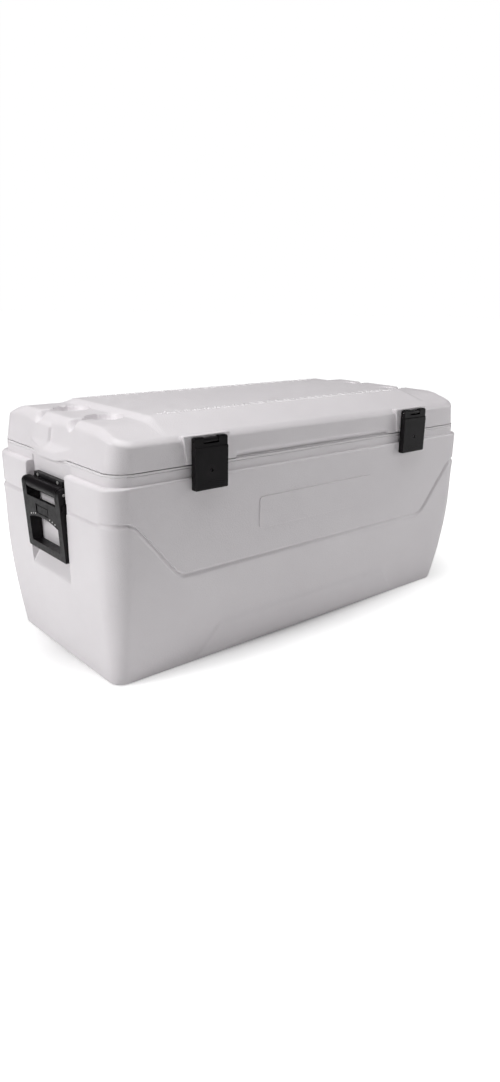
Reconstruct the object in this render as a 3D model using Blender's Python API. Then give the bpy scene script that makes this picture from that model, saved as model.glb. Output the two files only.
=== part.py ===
"""A large chest cooler: foam-filled double walls, a hinged lid, two latches, two swing handles and a drain.

Metres, +Z up. The origin is the middle of the footprint on the ground, X runs along the length and
the latches are on the -Y side.
"""

import math

import bmesh
import bpy
from mathutils import Matrix, Vector

# Body
GAP = 0.0003
SHELL_WALL = 0.003
LINER_WALL = 0.0025
BODY_HALF_X = 0.5375
BODY_HALF_Y = 0.2524
BODY_CORNER = 0.0514
STRAIGHT_Z = 0.26
TUCK_POWER = 1.8
END_TUCK = 0.0215
SIDE_TUCK = 0.0354
CORNER_TUCK = 0.020
FOOT_ROUND = 0.006
LEDGE_Z = 0.417
LEDGE_ROUND = 0.005
SEAM_Z = 0.441
COLLAR_HALF_X = 0.522
COLLAR_HALF_Y = 0.246
COLLAR_CORNER = 0.0425
FLANGE_TOP = SEAM_Z - GAP
FLANGE_BOTTOM = FLANGE_TOP - 0.004
RIM_Z = FLANGE_BOTTOM - GAP
WALL_LEVELS = (0.03, 0.06, 0.10, 0.15, 0.20, STRAIGHT_Z)
CORNER_STEPS = 6

# Tub
TUB_HALF_X = 0.480
TUB_TOP_HALF_Y = 0.208
TUB_FLOOR_HALF_Y = 0.186
TUB_CORNER = 0.034
TUB_FLOOR_Z = 0.045

# Lid
WALL_TOP_Z = 0.488
END_LEAN = 0.002
SHOULDER_Z = 0.498
PLATEAU_Z = 0.520
PANEL_Z = 0.529
PLATEAU_HALF_Y = 0.170
PANEL_HALF_X = 0.381
PANEL_HALF_Y = 0.155
SHOULDER_IN = (0.006, 0.004)
PLATEAU_IN = 0.016
PANEL_FOOT_OUT = 0.017
PANEL_ROOT_OUT = 0.019
PANEL_ROOT_DROP = 0.018
PANEL_FOOT_IN = 0.010
CUP_X = 0.430
CUP_Y = 0.068
CUP_RADIUS = 0.0365
CUP_DEPTH = 0.012
CHANNEL_HALF = 0.012
CHANNEL_Z = 0.505
PLUG_GAP = 0.006
PLUG_Z = 0.4373
LIP_HALF_Y = 0.088
LIP_X = 0.5310
LIP_THICK = 0.006
LIP_HEIGHTS = (0.437, 0.444, 0.459)
LIP_ROOT = 0.5195

# Hinges and latches share the same stations along the length
STATION_X = 0.3125
HINGE_Y = 0.261
HINGE_R = 0.0055
HINGE_HALF = 0.045
HINGE_MIDDLE = 0.0195
HINGE_PIN_R = 0.0022
LEAF = 0.0025
BODY_LEAF_Z = (0.372, 0.410)
LID_LEAF_Z = (0.452, 0.484)
ARM_FOOT_Z = (0.395, 0.413)
ARM_ROOT_Z = 0.428
TONGUE_ROOT_Z = (0.4440, 0.458, 0.470)
BODY_LEAF_SCREW_Z = 0.384
LID_LEAF_SCREW_Z = 0.471
HINGE_SCREW_X = 0.030
HINGE_SCREW_LENGTH = 0.0054

LATCH_Y = -0.2590
LATCH_Z = 0.4895
LATCH_HALF = 0.0395
LATCH_FRONT = -0.2665
LATCH_BACK = -0.2530
LATCH_BOTTOM = 0.3925
LATCH_STEP_Z = 0.478
LATCH_KNUCKLE = 0.0175
LATCH_PIN_R = 0.0016
LATCH_HOLE_Z = 0.431
LATCH_HOLE_R = 0.0028
LATCH_WALL = 0.003
BOSS_FACE = -0.2505
BOSS_BACK = -0.2280
BOSS_BOTTOM = (0.049, 0.447)
BOSS_TOP = (0.057, 0.500)
BASE_HALF = 0.030
BASE_Z = (0.452, 0.478)
BASE_KNUCKLE_R = 0.0045
BASE_PLATE = 0.002
LATCH_SCREW_X = 0.022
LATCH_SCREW_Z = 0.462
LATCH_SCREW_LENGTH = 0.0078
CATCH_Z = (0.399, 0.406)
CATCH_Y = -0.2560
CATCH_HALF = 0.030

# Handles
RECESS_X = 0.519
RECESS_HALF_Y = 0.0885
RECESS_FLOOR_Z = 0.222
RECESS_LIP_Z = 0.175
RECESS_TOP_Z = 0.430
BARREL_X = 0.538
BARREL_Z = 0.3765
BARREL_R = 0.0125
BAIL_HALF_Y = 0.084
BAIL_BACK = 0.5215
BAIL_BOTTOM = 0.232
WINDOW_HALF_Y = 0.065
WINDOW_BOTTOM = 0.250
ARCH_FOOT_Z = 0.302
ARCH_TOP_Z = 0.312
PANEL_TOP_Z = 0.350
PANEL_THICK = 0.005
HANDLE_PIN_R = 0.0032
BRACKET_FRONT = 0.5305
BRACKET_TOP = 0.3985
BRACKET_BOTTOM = 0.362
BRACKET_SCREW_Y = 0.045
BRACKET_SCREW_Z = 0.3935
BRACKET_SCREW_LENGTH = 0.0142
BRACKET_NECK_Z = 0.3895
LUG_OUT = 0.003
LUG_X = (0.5395, 0.5485)
LUG_Z = (0.343, 0.357)
BAIL_SHOULDER_Z = 0.368
BAIL_CHAMFER = 0.004
WINDOW_CHAMFER = 0.006

# Drain, on the right end
DRAIN_Z = 0.062
DRAIN_FACE = 0.5195
DRAIN_POCKET_R = 0.024
DRAIN_TUBE_R = 0.0100
DRAIN_BORE_R = 0.0080
DRAIN_FLANGE_R = 0.0175
DRAIN_SPIGOT_R = 0.0115
DRAIN_SPIGOT_END = 0.537
DRAIN_CAP_R = 0.0155
DRAIN_NUT_R = 0.0155
DRAIN_FLANGE = 0.0025
DRAIN_THREAD_LENGTH = 0.0085
DRAIN_GASKET = 0.002
CAP_GASKET = 0.0015
CAP_FLOOR = 0.003
GRIP = (0.004, 0.0125, 0.0025)

# Fasteners: shank and head radii, and the radii of their pilot and clearance holes
HINGE_SCREW = (0.0017, 0.0036)
HINGE_PILOT_R = 0.0021
HINGE_HOLE_R = 0.0022
LATCH_SCREW = (0.0014, 0.0032)
LATCH_PILOT_R = 0.0018
LATCH_SCREW_HOLE_R = 0.0019
HANDLE_SCREW = (0.0019, 0.0038)
HANDLE_HOLE_R = 0.0023
HEAD_RIM = 0.0011
HEAD_HEIGHT = 0.0019
PAST = 0.01  # how far a cutter runs past the face it cuts

AXES = {"X": (1, 2, 0), "Y": (0, 2, 1), "Z": (0, 1, 2)}


# Making and combining solids


def clear_scene():
    for obj in list(bpy.data.objects):
        bpy.data.objects.remove(obj, do_unlink=True)


def material(name, colour, roughness, metallic=0.0):
    made = bpy.data.materials.new(name)
    made.use_nodes = True
    shader = made.node_tree.nodes["Principled BSDF"]
    shader.inputs["Base Color"].default_value = (*colour, 1.0)
    shader.inputs["Roughness"].default_value = roughness
    shader.inputs["Metallic"].default_value = metallic
    made.diffuse_color = (*colour, 1.0)
    return made


def place(axis, u, v, w):
    """The point with coordinates u and v across an axis and w along it."""
    point = [0.0, 0.0, 0.0]
    for index, value in zip(AXES[axis], (u, v, w)):
        point[index] = value
    return Vector(point)


def solid(name, bm):
    """A closed mesh object from a bmesh, with its faces turned outwards."""
    bmesh.ops.recalc_face_normals(bm, faces=bm.faces[:])
    mesh = bpy.data.meshes.new(name)
    bm.to_mesh(mesh)
    bm.free()
    mesh.shade_smooth()
    mesh.set_sharp_from_angle(angle=math.radians(30))
    obj = bpy.data.objects.new(name, mesh)
    bpy.context.scene.collection.objects.link(obj)
    return obj


def add_rings(bm, rings):
    """Skins a stack of equal rings of points and closes both ends."""
    loops = [[bm.verts.new(point) for point in ring] for ring in rings]
    count = len(loops[0])
    for low, high in zip(loops, loops[1:]):
        for step in range(count):
            after = (step + 1) % count
            bm.faces.new((low[step], low[after], high[after], high[step]))
    bm.faces.new(loops[0][::-1])
    bm.faces.new(loops[-1])


def add_box(bm, low, high):
    corners = [(low[0], low[1]), (high[0], low[1]), (high[0], high[1]), (low[0], high[1])]
    add_rings(bm, [[Vector((x, y, z)) for x, y in corners] for z in (low[2], high[2])])


def add_rod(bm, axis, centre, radius, start, end, steps=16):
    """A cylinder along an axis, round centre = (u, v), from start to end."""
    turn = [2 * math.pi * (step + 0.5) / steps for step in range(steps)]
    outline = [(centre[0] + radius * math.cos(a), centre[1] + radius * math.sin(a)) for a in turn]
    add_rings(bm, [[place(axis, u, v, w) for u, v in outline] for w in (start, end)])


def box(name, low, high):
    bm = bmesh.new()
    add_box(bm, low, high)
    return solid(name, bm)


def rod(name, axis, centre, radius, start, end, steps=16):
    bm = bmesh.new()
    add_rod(bm, axis, centre, radius, start, end, steps)
    return solid(name, bm)


def prism(name, axis, outline, start, end):
    bm = bmesh.new()
    add_rings(bm, [[place(axis, u, v, w) for u, v in outline] for w in (start, end)])
    return solid(name, bm)


def arc(centre, radius, first, last, steps):
    """Points from angle first to angle last, in degrees."""
    angles = [math.radians(first + (last - first) * step / steps) for step in range(steps + 1)]
    return [(centre[0] + radius * math.cos(a), centre[1] + radius * math.sin(a)) for a in angles]


def section(z, half_x, half_y, corner):
    """A rounded rectangle at height z."""
    points = []
    for quarter, (side_x, side_y) in enumerate(((1, 1), (-1, 1), (-1, -1), (1, -1))):
        centre = (side_x * (half_x - corner), side_y * (half_y - corner))
        points += arc(centre, corner, 90 * quarter, 90 * quarter + 90, CORNER_STEPS)
    return [Vector((x, y, z)) for x, y in points]


def loft(name, sections):
    bm = bmesh.new()
    add_rings(bm, [section(*each) for each in sections])
    return solid(name, bm)


def turned(name, axis, centre, profile, steps=20):
    """Turns a closed profile of (radius, height) points that stays clear of the axis."""
    bm = bmesh.new()
    rings = []
    for step in range(steps):
        angle = 2 * math.pi * (step + 0.5) / steps
        ring = []
        for radius, height in profile:
            u = centre[0] + radius * math.cos(angle)
            v = centre[1] + radius * math.sin(angle)
            ring.append(bm.verts.new(place(axis, u, v, height)))
        rings.append(ring)
    count = len(profile)
    for ring, following in zip(rings, rings[1:] + rings[:1]):
        for step in range(count):
            after = (step + 1) % count
            bm.faces.new((ring[step], ring[after], following[after], following[step]))
    return solid(name, bm)


def combine(obj, tool, operation):
    """Adds a Boolean, and hides the tool from the finished model."""
    modifier = obj.modifiers.new(operation.lower() + "_" + tool.name, "BOOLEAN")
    modifier.operation = operation
    modifier.solver = "EXACT"
    modifier.object = tool
    tool.hide_render = True
    tool.display_type = "WIRE"


def cut(obj, *tools):
    for tool in tools:
        combine(obj, tool, "DIFFERENCE")


def join(obj, *tools):
    for tool in tools:
        combine(obj, tool, "UNION")


def finish(obj, look, parent=None):
    """Gives a finished piece its material and hangs it on its joint's axis, without moving it."""
    obj.data.materials.append(look)
    if parent:
        obj.parent = parent
        obj.matrix_parent_inverse = Matrix.Translation(-parent.location)


def pivot(name, place_at, parent=None):
    empty = bpy.data.objects.new(name, None)
    empty.location = place_at
    bpy.context.scene.collection.objects.link(empty)
    if parent:
        empty.parent = parent
        empty.matrix_parent_inverse = Matrix.Translation(-parent.location)
    return empty


# Body


def body_section(z, inset=0.0):
    """The body's outside at height z, moved inwards by inset."""
    tuck = max(0.0, 1.0 - z / STRAIGHT_Z) ** TUCK_POWER
    half_x = BODY_HALF_X - END_TUCK * tuck - inset
    half_y = BODY_HALF_Y - SIDE_TUCK * tuck - inset
    return z, half_x, half_y, BODY_CORNER - CORNER_TUCK * tuck - inset


def collar_section(z, inset=0.0):
    return z, COLLAR_HALF_X - inset, COLLAR_HALF_Y - inset, COLLAR_CORNER - inset


def body_block(name, inset, floor_z, top_z):
    """The body's outer form, or the same form drawn in by a wall thickness."""
    ledge_z = LEDGE_Z - inset
    sections = [body_section(floor_z, inset + FOOT_ROUND), body_section(floor_z + FOOT_ROUND, inset)]
    sections += [body_section(z, inset) for z in WALL_LEVELS]
    sections += [body_section(ledge_z - LEDGE_ROUND, inset), body_section(ledge_z, inset + LEDGE_ROUND)]
    sections += [collar_section(ledge_z + GAP, inset), collar_section(top_z, inset)]
    return loft(name, sections)


def recess_block(name, side, margin):
    """What the handle recess takes out of an end, or that shape grown by a wall thickness."""
    lean = (RECESS_FLOOR_Z - RECESS_LIP_Z) / (BODY_HALF_X - RECESS_X)
    back = RECESS_X - margin
    outer = BODY_HALF_X + 0.05
    drop = margin * (math.sqrt(1 + lean * lean) - lean)
    floor_z = RECESS_FLOOR_Z - drop
    outline = [(back, floor_z), (back, RECESS_TOP_Z + margin)]
    outline += [(outer, RECESS_TOP_Z + margin), (outer, floor_z - lean * (outer - back))]
    half = RECESS_HALF_Y + margin
    return prism(name, "Y", [(side * x, z) for x, z in outline], -half, half)


def drain_tool(name, radius, start, end):
    return rod(name, "X", (0.0, DRAIN_Z), radius, start, end, 24)


def tub_section(z, grow):
    """The tub's inside at height z, or the same outline grown by a wall thickness."""
    draft = (TUB_TOP_HALF_Y - TUB_FLOOR_HALF_Y) / (SEAM_Z - TUB_FLOOR_Z)
    half_y = TUB_FLOOR_HALF_Y + draft * (z - TUB_FLOOR_Z)
    return z, TUB_HALF_X + grow, half_y + grow, TUB_CORNER + grow


def tub_block(name, grow, floor_z, top_z):
    return loft(name, [tub_section(floor_z, grow), tub_section(top_z, grow)])


def hollow_core(name, inset, floor_z, top_z):
    """The space inside the outer shell: its own form less the handle recesses and the drain pocket."""
    core = body_block(name, inset, floor_z, top_z)
    for side in (-1, 1):
        cut(core, recess_block(f"{name}_recess_{side}", side, inset))
    pocket_r = DRAIN_POCKET_R + inset
    cut(core, drain_tool(name + "_drain_pocket", pocket_r, DRAIN_FACE - inset, BODY_HALF_X + PAST))
    return core


def screw_holes(name):
    """Pilot holes in the body for the hinge and handle screws."""
    bm = bmesh.new()
    for side in (-1, 1):
        for offset in (-HINGE_SCREW_X, HINGE_SCREW_X):
            centre = (side * STATION_X + offset, BODY_LEAF_SCREW_Z)
            deep = BODY_HALF_Y - 2 * SHELL_WALL
            add_rod(bm, "Y", centre, HINGE_PILOT_R, deep, BODY_HALF_Y + SHELL_WALL, 10)
        ends = sorted((side * (RECESS_X - 2 * SHELL_WALL), side * (RECESS_X + SHELL_WALL)))
        for y in (-BRACKET_SCREW_Y, BRACKET_SCREW_Y):
            add_rod(bm, "X", (y, BRACKET_SCREW_Z), HANDLE_HOLE_R, ends[0], ends[1], 10)
    return solid(name, bm)


def make_body(white, foam):
    shell = body_block("outer_shell", 0.0, 0.0, RIM_Z)
    for side in (-1, 1):
        cut(shell, recess_block(f"shell_recess_{side}", side, 0.0))
    cut(shell, drain_tool("shell_drain_pocket", DRAIN_POCKET_R, DRAIN_FACE, BODY_HALF_X + PAST))
    cut(shell, hollow_core("shell_core", SHELL_WALL, SHELL_WALL, RIM_Z + PAST))
    cut(shell, drain_tool("shell_drain_hole", DRAIN_TUBE_R + GAP, DRAIN_FACE - PAST, DRAIN_FACE + PAST))
    cut(shell, screw_holes("shell_screw_holes"))
    for side in (-1, 1):
        x = side * STATION_X
        low = (x - CATCH_HALF, CATCH_Y, CATCH_Z[0])
        high = (x + CATCH_HALF, BOSS_FACE, CATCH_Z[1])
        join(shell, box(f"catch_{side}", low, high))
    finish(shell, white)

    liner = tub_block("liner", LINER_WALL, TUB_FLOOR_Z - LINER_WALL, FLANGE_BOTTOM + 0.001)
    flange = [collar_section(FLANGE_BOTTOM), collar_section(FLANGE_TOP)]
    join(liner, loft("liner_flange", flange))
    cut(liner, tub_block("tub_space", 0.0, TUB_FLOOR_Z, FLANGE_TOP + PAST))
    cut(liner, drain_tool("liner_drain_hole", DRAIN_TUBE_R + GAP, TUB_HALF_X - PAST, TUB_HALF_X + PAST))
    finish(liner, white)

    inset = SHELL_WALL + GAP
    filling = hollow_core("body_foam", inset, inset, RIM_Z)
    tub_grow = LINER_WALL + GAP
    cut(filling, tub_block("foam_tub_space", tub_grow, TUB_FLOOR_Z - tub_grow, SEAM_Z + PAST))
    cut(filling, drain_tool("foam_drain_hole", DRAIN_TUBE_R + 0.001, TUB_HALF_X - PAST, DRAIN_FACE + PAST))
    finish(filling, foam)


# Lid


def lid_block(name, inset, bottom_z):
    """The lid's outer form with its raised centre panel, or the same form drawn in by a wall."""
    side = COLLAR_HALF_X - inset
    front = COLLAR_HALF_Y - inset
    corner = COLLAR_CORNER - inset
    lean = END_LEAN / (WALL_TOP_Z - SEAM_Z)
    sections = [(bottom_z, side - lean * (bottom_z - SEAM_Z), front, corner)]
    sections += [(WALL_TOP_Z, side - END_LEAN, front, corner)]
    sections += [(SHOULDER_Z, side - SHOULDER_IN[0], front - SHOULDER_IN[1], corner)]
    sections += [(PLATEAU_Z - inset, side - PLATEAU_IN, PLATEAU_HALF_Y, corner)]
    block = loft(name, sections)
    foot_y = COLLAR_HALF_Y - PANEL_FOOT_IN
    foot = (SHOULDER_Z + 0.001 - inset, PANEL_HALF_X + PANEL_FOOT_OUT - inset, foot_y, 0.03)
    root_z = SHOULDER_Z - PANEL_ROOT_DROP - inset
    root = (root_z, PANEL_HALF_X + PANEL_ROOT_OUT - inset, foot_y, 0.03)
    top = (PANEL_Z - inset, PANEL_HALF_X - inset, PANEL_HALF_Y, 0.02)
    join(block, loft(name + "_panel", [root, foot, top]))
    return block


def cups(name, margin):
    """The four cup wells, or the same wells grown by a wall thickness."""
    bm = bmesh.new()
    for x in (-CUP_X, CUP_X):
        for y in (-CUP_Y, CUP_Y):
            bottom = PLATEAU_Z - CUP_DEPTH - margin
            add_rod(bm, "Z", (x, y), CUP_RADIUS + margin, bottom, PANEL_Z + PAST, 32)
    return solid(name, bm)


def channels(name, margin):
    """V grooves that drain the cup wells over the ends of the lid, or the same grooves grown by a wall."""
    bm = bmesh.new()
    grown = margin * math.sqrt(2)
    half = CHANNEL_HALF + grown
    for side in (-1, 1):
        for y in (-CUP_Y, CUP_Y):
            low = (y, CHANNEL_Z - grown)
            outline = [low, (y + half, PLATEAU_Z + 0.002), (y + half, PANEL_Z + PAST)]
            outline += [(y - half, PANEL_Z + PAST), (y - half, PLATEAU_Z + 0.002)]
            ends = (side * (CUP_X + 0.8 * CUP_RADIUS), side * (COLLAR_HALF_X + PAST))
            add_rings(bm, [[place("X", u, v, x) for u, v in outline] for x in ends])
    return solid(name, bm)


def lid_core(name, inset, bottom_z):
    core = lid_block(name, inset, bottom_z)
    cut(core, cups(name + "_cups", inset), channels(name + "_channels", inset))
    return core


def lifting_lip(name, side):
    """The finger lip moulded on an end of the lid, hanging just outside the collar."""
    bottom, edge, top = LIP_HEIGHTS
    inner = LIP_X - LIP_THICK
    outline = [(LIP_ROOT, top), (LIP_ROOT + 0.003, top), (LIP_X, edge), (LIP_X, bottom)]
    outline += [(inner, bottom), (inner, edge + 0.0005), (LIP_ROOT, edge + 0.0005)]
    return prism(name, "Y", [(side * x, z) for x, z in outline], -LIP_HALF_Y, LIP_HALF_Y)


def latch_boss(name, x):
    outline = [(x + side * half, z) for side, (half, z) in ((-1, BOSS_BOTTOM), (1, BOSS_BOTTOM))]
    outline += [(x + side * half, z) for side, (half, z) in ((1, BOSS_TOP), (-1, BOSS_TOP))]
    return prism(name, "Y", outline, BOSS_FACE, BOSS_BACK)


def lid_screw_holes(name):
    bm = bmesh.new()
    for side in (-1, 1):
        for offset in (-HINGE_SCREW_X, HINGE_SCREW_X):
            centre = (side * STATION_X + offset, LID_LEAF_SCREW_Z)
            deep = COLLAR_HALF_Y - 2 * SHELL_WALL
            add_rod(bm, "Y", centre, HINGE_PILOT_R, deep, COLLAR_HALF_Y + SHELL_WALL, 10)
        for offset in (-LATCH_SCREW_X, LATCH_SCREW_X):
            centre = (side * STATION_X + offset, LATCH_SCREW_Z)
            deep = BOSS_FACE + 2 * SHELL_WALL
            add_rod(bm, "Y", centre, LATCH_PILOT_R, BOSS_FACE - SHELL_WALL, deep, 10)
    return solid(name, bm)


def make_lid(axis, white, foam):
    shell = lid_block("lid_shell", 0.0, SEAM_Z)
    for side in (-1, 1):
        join(shell, lifting_lip(f"lid_lip_{side}", side))
        join(shell, latch_boss(f"lid_boss_{side}", side * STATION_X))
    cut(shell, cups("cup_wells", 0.0), channels("lid_channels", 0.0))
    cut(shell, lid_core("lid_space", SHELL_WALL, SEAM_Z - PAST))
    cut(shell, lid_screw_holes("lid_screw_holes"))
    finish(shell, white, axis)

    plate_top = SEAM_Z + GAP + LINER_WALL
    inset = SHELL_WALL + GAP
    plug_x = TUB_HALF_X - PLUG_GAP
    plug_y = TUB_TOP_HALF_Y - PLUG_GAP
    liner = loft("lid_liner", [collar_section(SEAM_Z + GAP, inset), collar_section(plate_top, inset)])
    plug = [(PLUG_Z, plug_x, plug_y, TUB_CORNER), (plate_top - 0.001, plug_x, plug_y, TUB_CORNER)]
    join(liner, loft("lid_plug", plug))
    pocket_x = plug_x - LINER_WALL
    pocket_y = plug_y - LINER_WALL
    corner = TUB_CORNER - LINER_WALL
    pocket = [(z, pocket_x, pocket_y, corner) for z in (PLUG_Z + LINER_WALL, plate_top + PAST)]
    cut(liner, loft("lid_plug_space", pocket))
    finish(liner, white, axis)

    filling = lid_core("lid_foam", inset, plate_top + GAP)
    fill_x = pocket_x - GAP
    fill_y = pocket_y - GAP
    low_z = PLUG_Z + LINER_WALL + GAP
    fill = [(z, fill_x, fill_y, corner) for z in (low_z, plate_top + 0.003)]
    join(filling, loft("plug_foam", fill))
    finish(filling, foam, axis)


# Fasteners


def screw(name, axis, centre, seat, inwards, length, radii, look, parent=None):
    """A pan-head screw: its head rests on seat, and its shank runs inwards (+1 or -1) along the axis."""
    shank, head = radii
    outline = [(shank * 0.3, seat + inwards * length), (shank, seat + inwards * (length - shank))]
    outline += [(shank, seat), (head, seat), (head, seat - inwards * HEAD_RIM)]
    outline += [(head * 0.7, seat - inwards * HEAD_HEIGHT)]
    bm = bmesh.new()
    steps = 10
    rings = []
    for radius, height in outline:
        turn = [2 * math.pi * (step + 0.5) / steps for step in range(steps)]
        ring = [(centre[0] + radius * math.cos(a), centre[1] + radius * math.sin(a)) for a in turn]
        rings.append([place(axis, u, v, height) for u, v in ring])
    add_rings(bm, rings)
    finish(solid(name, bm), look, parent)


# Hinges


def make_hinge(side_name, x, lid_axis, plastic, steel):
    centre = (HINGE_Y, SEAM_Z)
    wall = BODY_HALF_Y + GAP
    web = [(wall, ARM_FOOT_Z[0]), (wall + LEAF, ARM_FOOT_Z[0]), (wall + LEAF, ARM_FOOT_Z[1])]
    web += arc(centre, HINGE_R, -30, 180, 8) + [(wall, ARM_ROOT_Z)]
    low = (x - HINGE_HALF, wall, BODY_LEAF_Z[0])
    leaf = box("hinge_body_leaf_" + side_name, low, (x + HINGE_HALF, wall + LEAF, BODY_LEAF_Z[1]))
    for end in (-1, 1):
        span = sorted((x + end * (HINGE_MIDDLE + 0.0005), x + end * HINGE_HALF))
        join(leaf, prism(f"hinge_arm_{side_name}_{end}", "X", web, span[0], span[1]))
    bore = rod("hinge_bore_" + side_name, "X", centre, HINGE_PIN_R + GAP, x - 0.06, x + 0.06, 12)
    holes = bmesh.new()
    for offset in (-HINGE_SCREW_X, HINGE_SCREW_X):
        add_rod(holes, "Y", (x + offset, BODY_LEAF_SCREW_Z), HINGE_HOLE_R, wall - LEAF, wall + 2 * LEAF, 10)
    cut(leaf, bore, solid("hinge_body_holes_" + side_name, holes))
    finish(leaf, plastic)

    lid_wall = COLLAR_HALF_Y + GAP
    low = (x - HINGE_HALF, lid_wall, LID_LEAF_Z[0])
    high = (x + HINGE_HALF, lid_wall + LEAF, LID_LEAF_Z[1])
    lid_leaf = box("hinge_lid_leaf_" + side_name, low, high)
    root, shoulder, top = TONGUE_ROOT_Z
    arm = [(lid_wall, top), (lid_wall, root)] + arc(centre, HINGE_R, 215, 450, 9)
    arm += [(lid_wall + LEAF, shoulder), (lid_wall + LEAF, top)]
    join(lid_leaf, prism("hinge_tongue_" + side_name, "X", arm, x - HINGE_MIDDLE, x + HINGE_MIDDLE))
    holes = bmesh.new()
    for offset in (-HINGE_SCREW_X, HINGE_SCREW_X):
        place_at = (x + offset, LID_LEAF_SCREW_Z)
        add_rod(holes, "Y", place_at, HINGE_HOLE_R, lid_wall - LEAF, lid_wall + 2 * LEAF, 10)
    cut(lid_leaf, bore, solid("hinge_lid_holes_" + side_name, holes))
    finish(lid_leaf, plastic, lid_axis)

    pin = rod("hinge_pin_" + side_name, "X", centre, HINGE_PIN_R, x - HINGE_HALF, x + HINGE_HALF, 12)
    finish(pin, steel)

    for number, offset in enumerate((-HINGE_SCREW_X, HINGE_SCREW_X), 1):
        name = f"hinge_body_screw_{side_name}_{number}"
        seat = wall + LEAF + GAP
        place_at = (x + offset, BODY_LEAF_SCREW_Z)
        screw(name, "Y", place_at, seat, -1, HINGE_SCREW_LENGTH, HINGE_SCREW, steel)
        name = f"hinge_lid_screw_{side_name}_{number}"
        seat = lid_wall + LEAF + GAP
        place_at = (x + offset, LID_LEAF_SCREW_Z)
        screw(name, "Y", place_at, seat, -1, HINGE_SCREW_LENGTH, HINGE_SCREW, steel, lid_axis)


# Latches


def make_latch(side_name, x, lid_axis, plastic, steel):
    axis = pivot("latch_axis_" + side_name, (x, LATCH_Y, LATCH_Z), lid_axis)
    outline = [(LATCH_BACK, LATCH_BOTTOM), (LATCH_FRONT + 0.0025, LATCH_BOTTOM)]
    outline += [(LATCH_FRONT, LATCH_BOTTOM + 0.0025), (LATCH_FRONT, LATCH_STEP_Z - 0.002)]
    outline += [(LATCH_FRONT + 0.002, LATCH_STEP_Z), (LATCH_FRONT + 0.002, LATCH_Z + 0.0045)]
    outline += [(LATCH_FRONT + 0.0045, LATCH_Z + 0.0075), (LATCH_Y + 0.003, LATCH_Z + 0.0075)]
    outline += [(LATCH_BACK, LATCH_Z + 0.005)]
    lever = prism("latch_lever_" + side_name, "X", outline, x - LATCH_HALF, x + LATCH_HALF)
    inside = LATCH_HALF - LATCH_WALL
    behind = BOSS_FACE + PAST
    low = (x - inside, LATCH_FRONT + LATCH_WALL, LATCH_BOTTOM + 2 * LATCH_WALL)
    cavity = box("latch_cavity_" + side_name, low, (x + inside, behind, LATCH_Z - 0.0095))
    notch_half = LATCH_KNUCKLE + 0.001
    before = LATCH_FRONT - PAST
    low = (x - notch_half, before, LATCH_Z - 0.0135)
    notch = box("latch_notch_" + side_name, low, (x + notch_half, behind, LATCH_Z + 2 * PAST))
    reach = LATCH_HALF + PAST
    axis_at = (LATCH_Y, LATCH_Z)
    bore = rod("latch_bore_" + side_name, "X", axis_at, LATCH_PIN_R + GAP, x - reach, x + reach, 12)
    hole_at = (x, LATCH_HOLE_Z)
    hole = rod("latch_padlock_hole_" + side_name, "Y", hole_at, LATCH_HOLE_R, before, behind, 12)
    cut(lever, cavity, notch, bore, hole)
    finish(lever, plastic, axis)

    plate_back = BOSS_FACE - GAP
    plate_front = plate_back - BASE_PLATE
    low = (x - BASE_HALF, plate_front, BASE_Z[0])
    base = box("latch_base_" + side_name, low, (x + BASE_HALF, plate_back, BASE_Z[1]))
    knuckle_foot = BASE_Z[1] - 0.008
    knuckle = [(plate_back - 0.0001, knuckle_foot), (plate_back - 0.0001, LATCH_Z + BASE_KNUCKLE_R)]
    knuckle += arc(axis_at, BASE_KNUCKLE_R, 90, 290, 8) + [(plate_front, knuckle_foot)]
    tongue = prism("latch_knuckle_" + side_name, "X", knuckle, x - LATCH_KNUCKLE, x + LATCH_KNUCKLE)
    join(base, tongue)
    holes = bmesh.new()
    for offset in (-LATCH_SCREW_X, LATCH_SCREW_X):
        add_rod(holes, "Y", (x + offset, LATCH_SCREW_Z), LATCH_SCREW_HOLE_R, before, behind, 10)
    cut(base, bore, solid("latch_base_holes_" + side_name, holes))
    finish(base, plastic, lid_axis)

    length = LATCH_HALF - 0.0015
    pin = rod("latch_pin_" + side_name, "X", axis_at, LATCH_PIN_R, x - length, x + length, 12)
    finish(pin, steel, axis)
    for number, offset in enumerate((-LATCH_SCREW_X, LATCH_SCREW_X), 1):
        centre = (x + offset, LATCH_SCREW_Z)
        name = f"latch_screw_{side_name}_{number}"
        screw(name, "Y", centre, plate_front - GAP, 1, LATCH_SCREW_LENGTH, LATCH_SCREW, steel, lid_axis)


# Handles


def mirrored(outline, side):
    return [(side * x, z) for x, z in outline]


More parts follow.
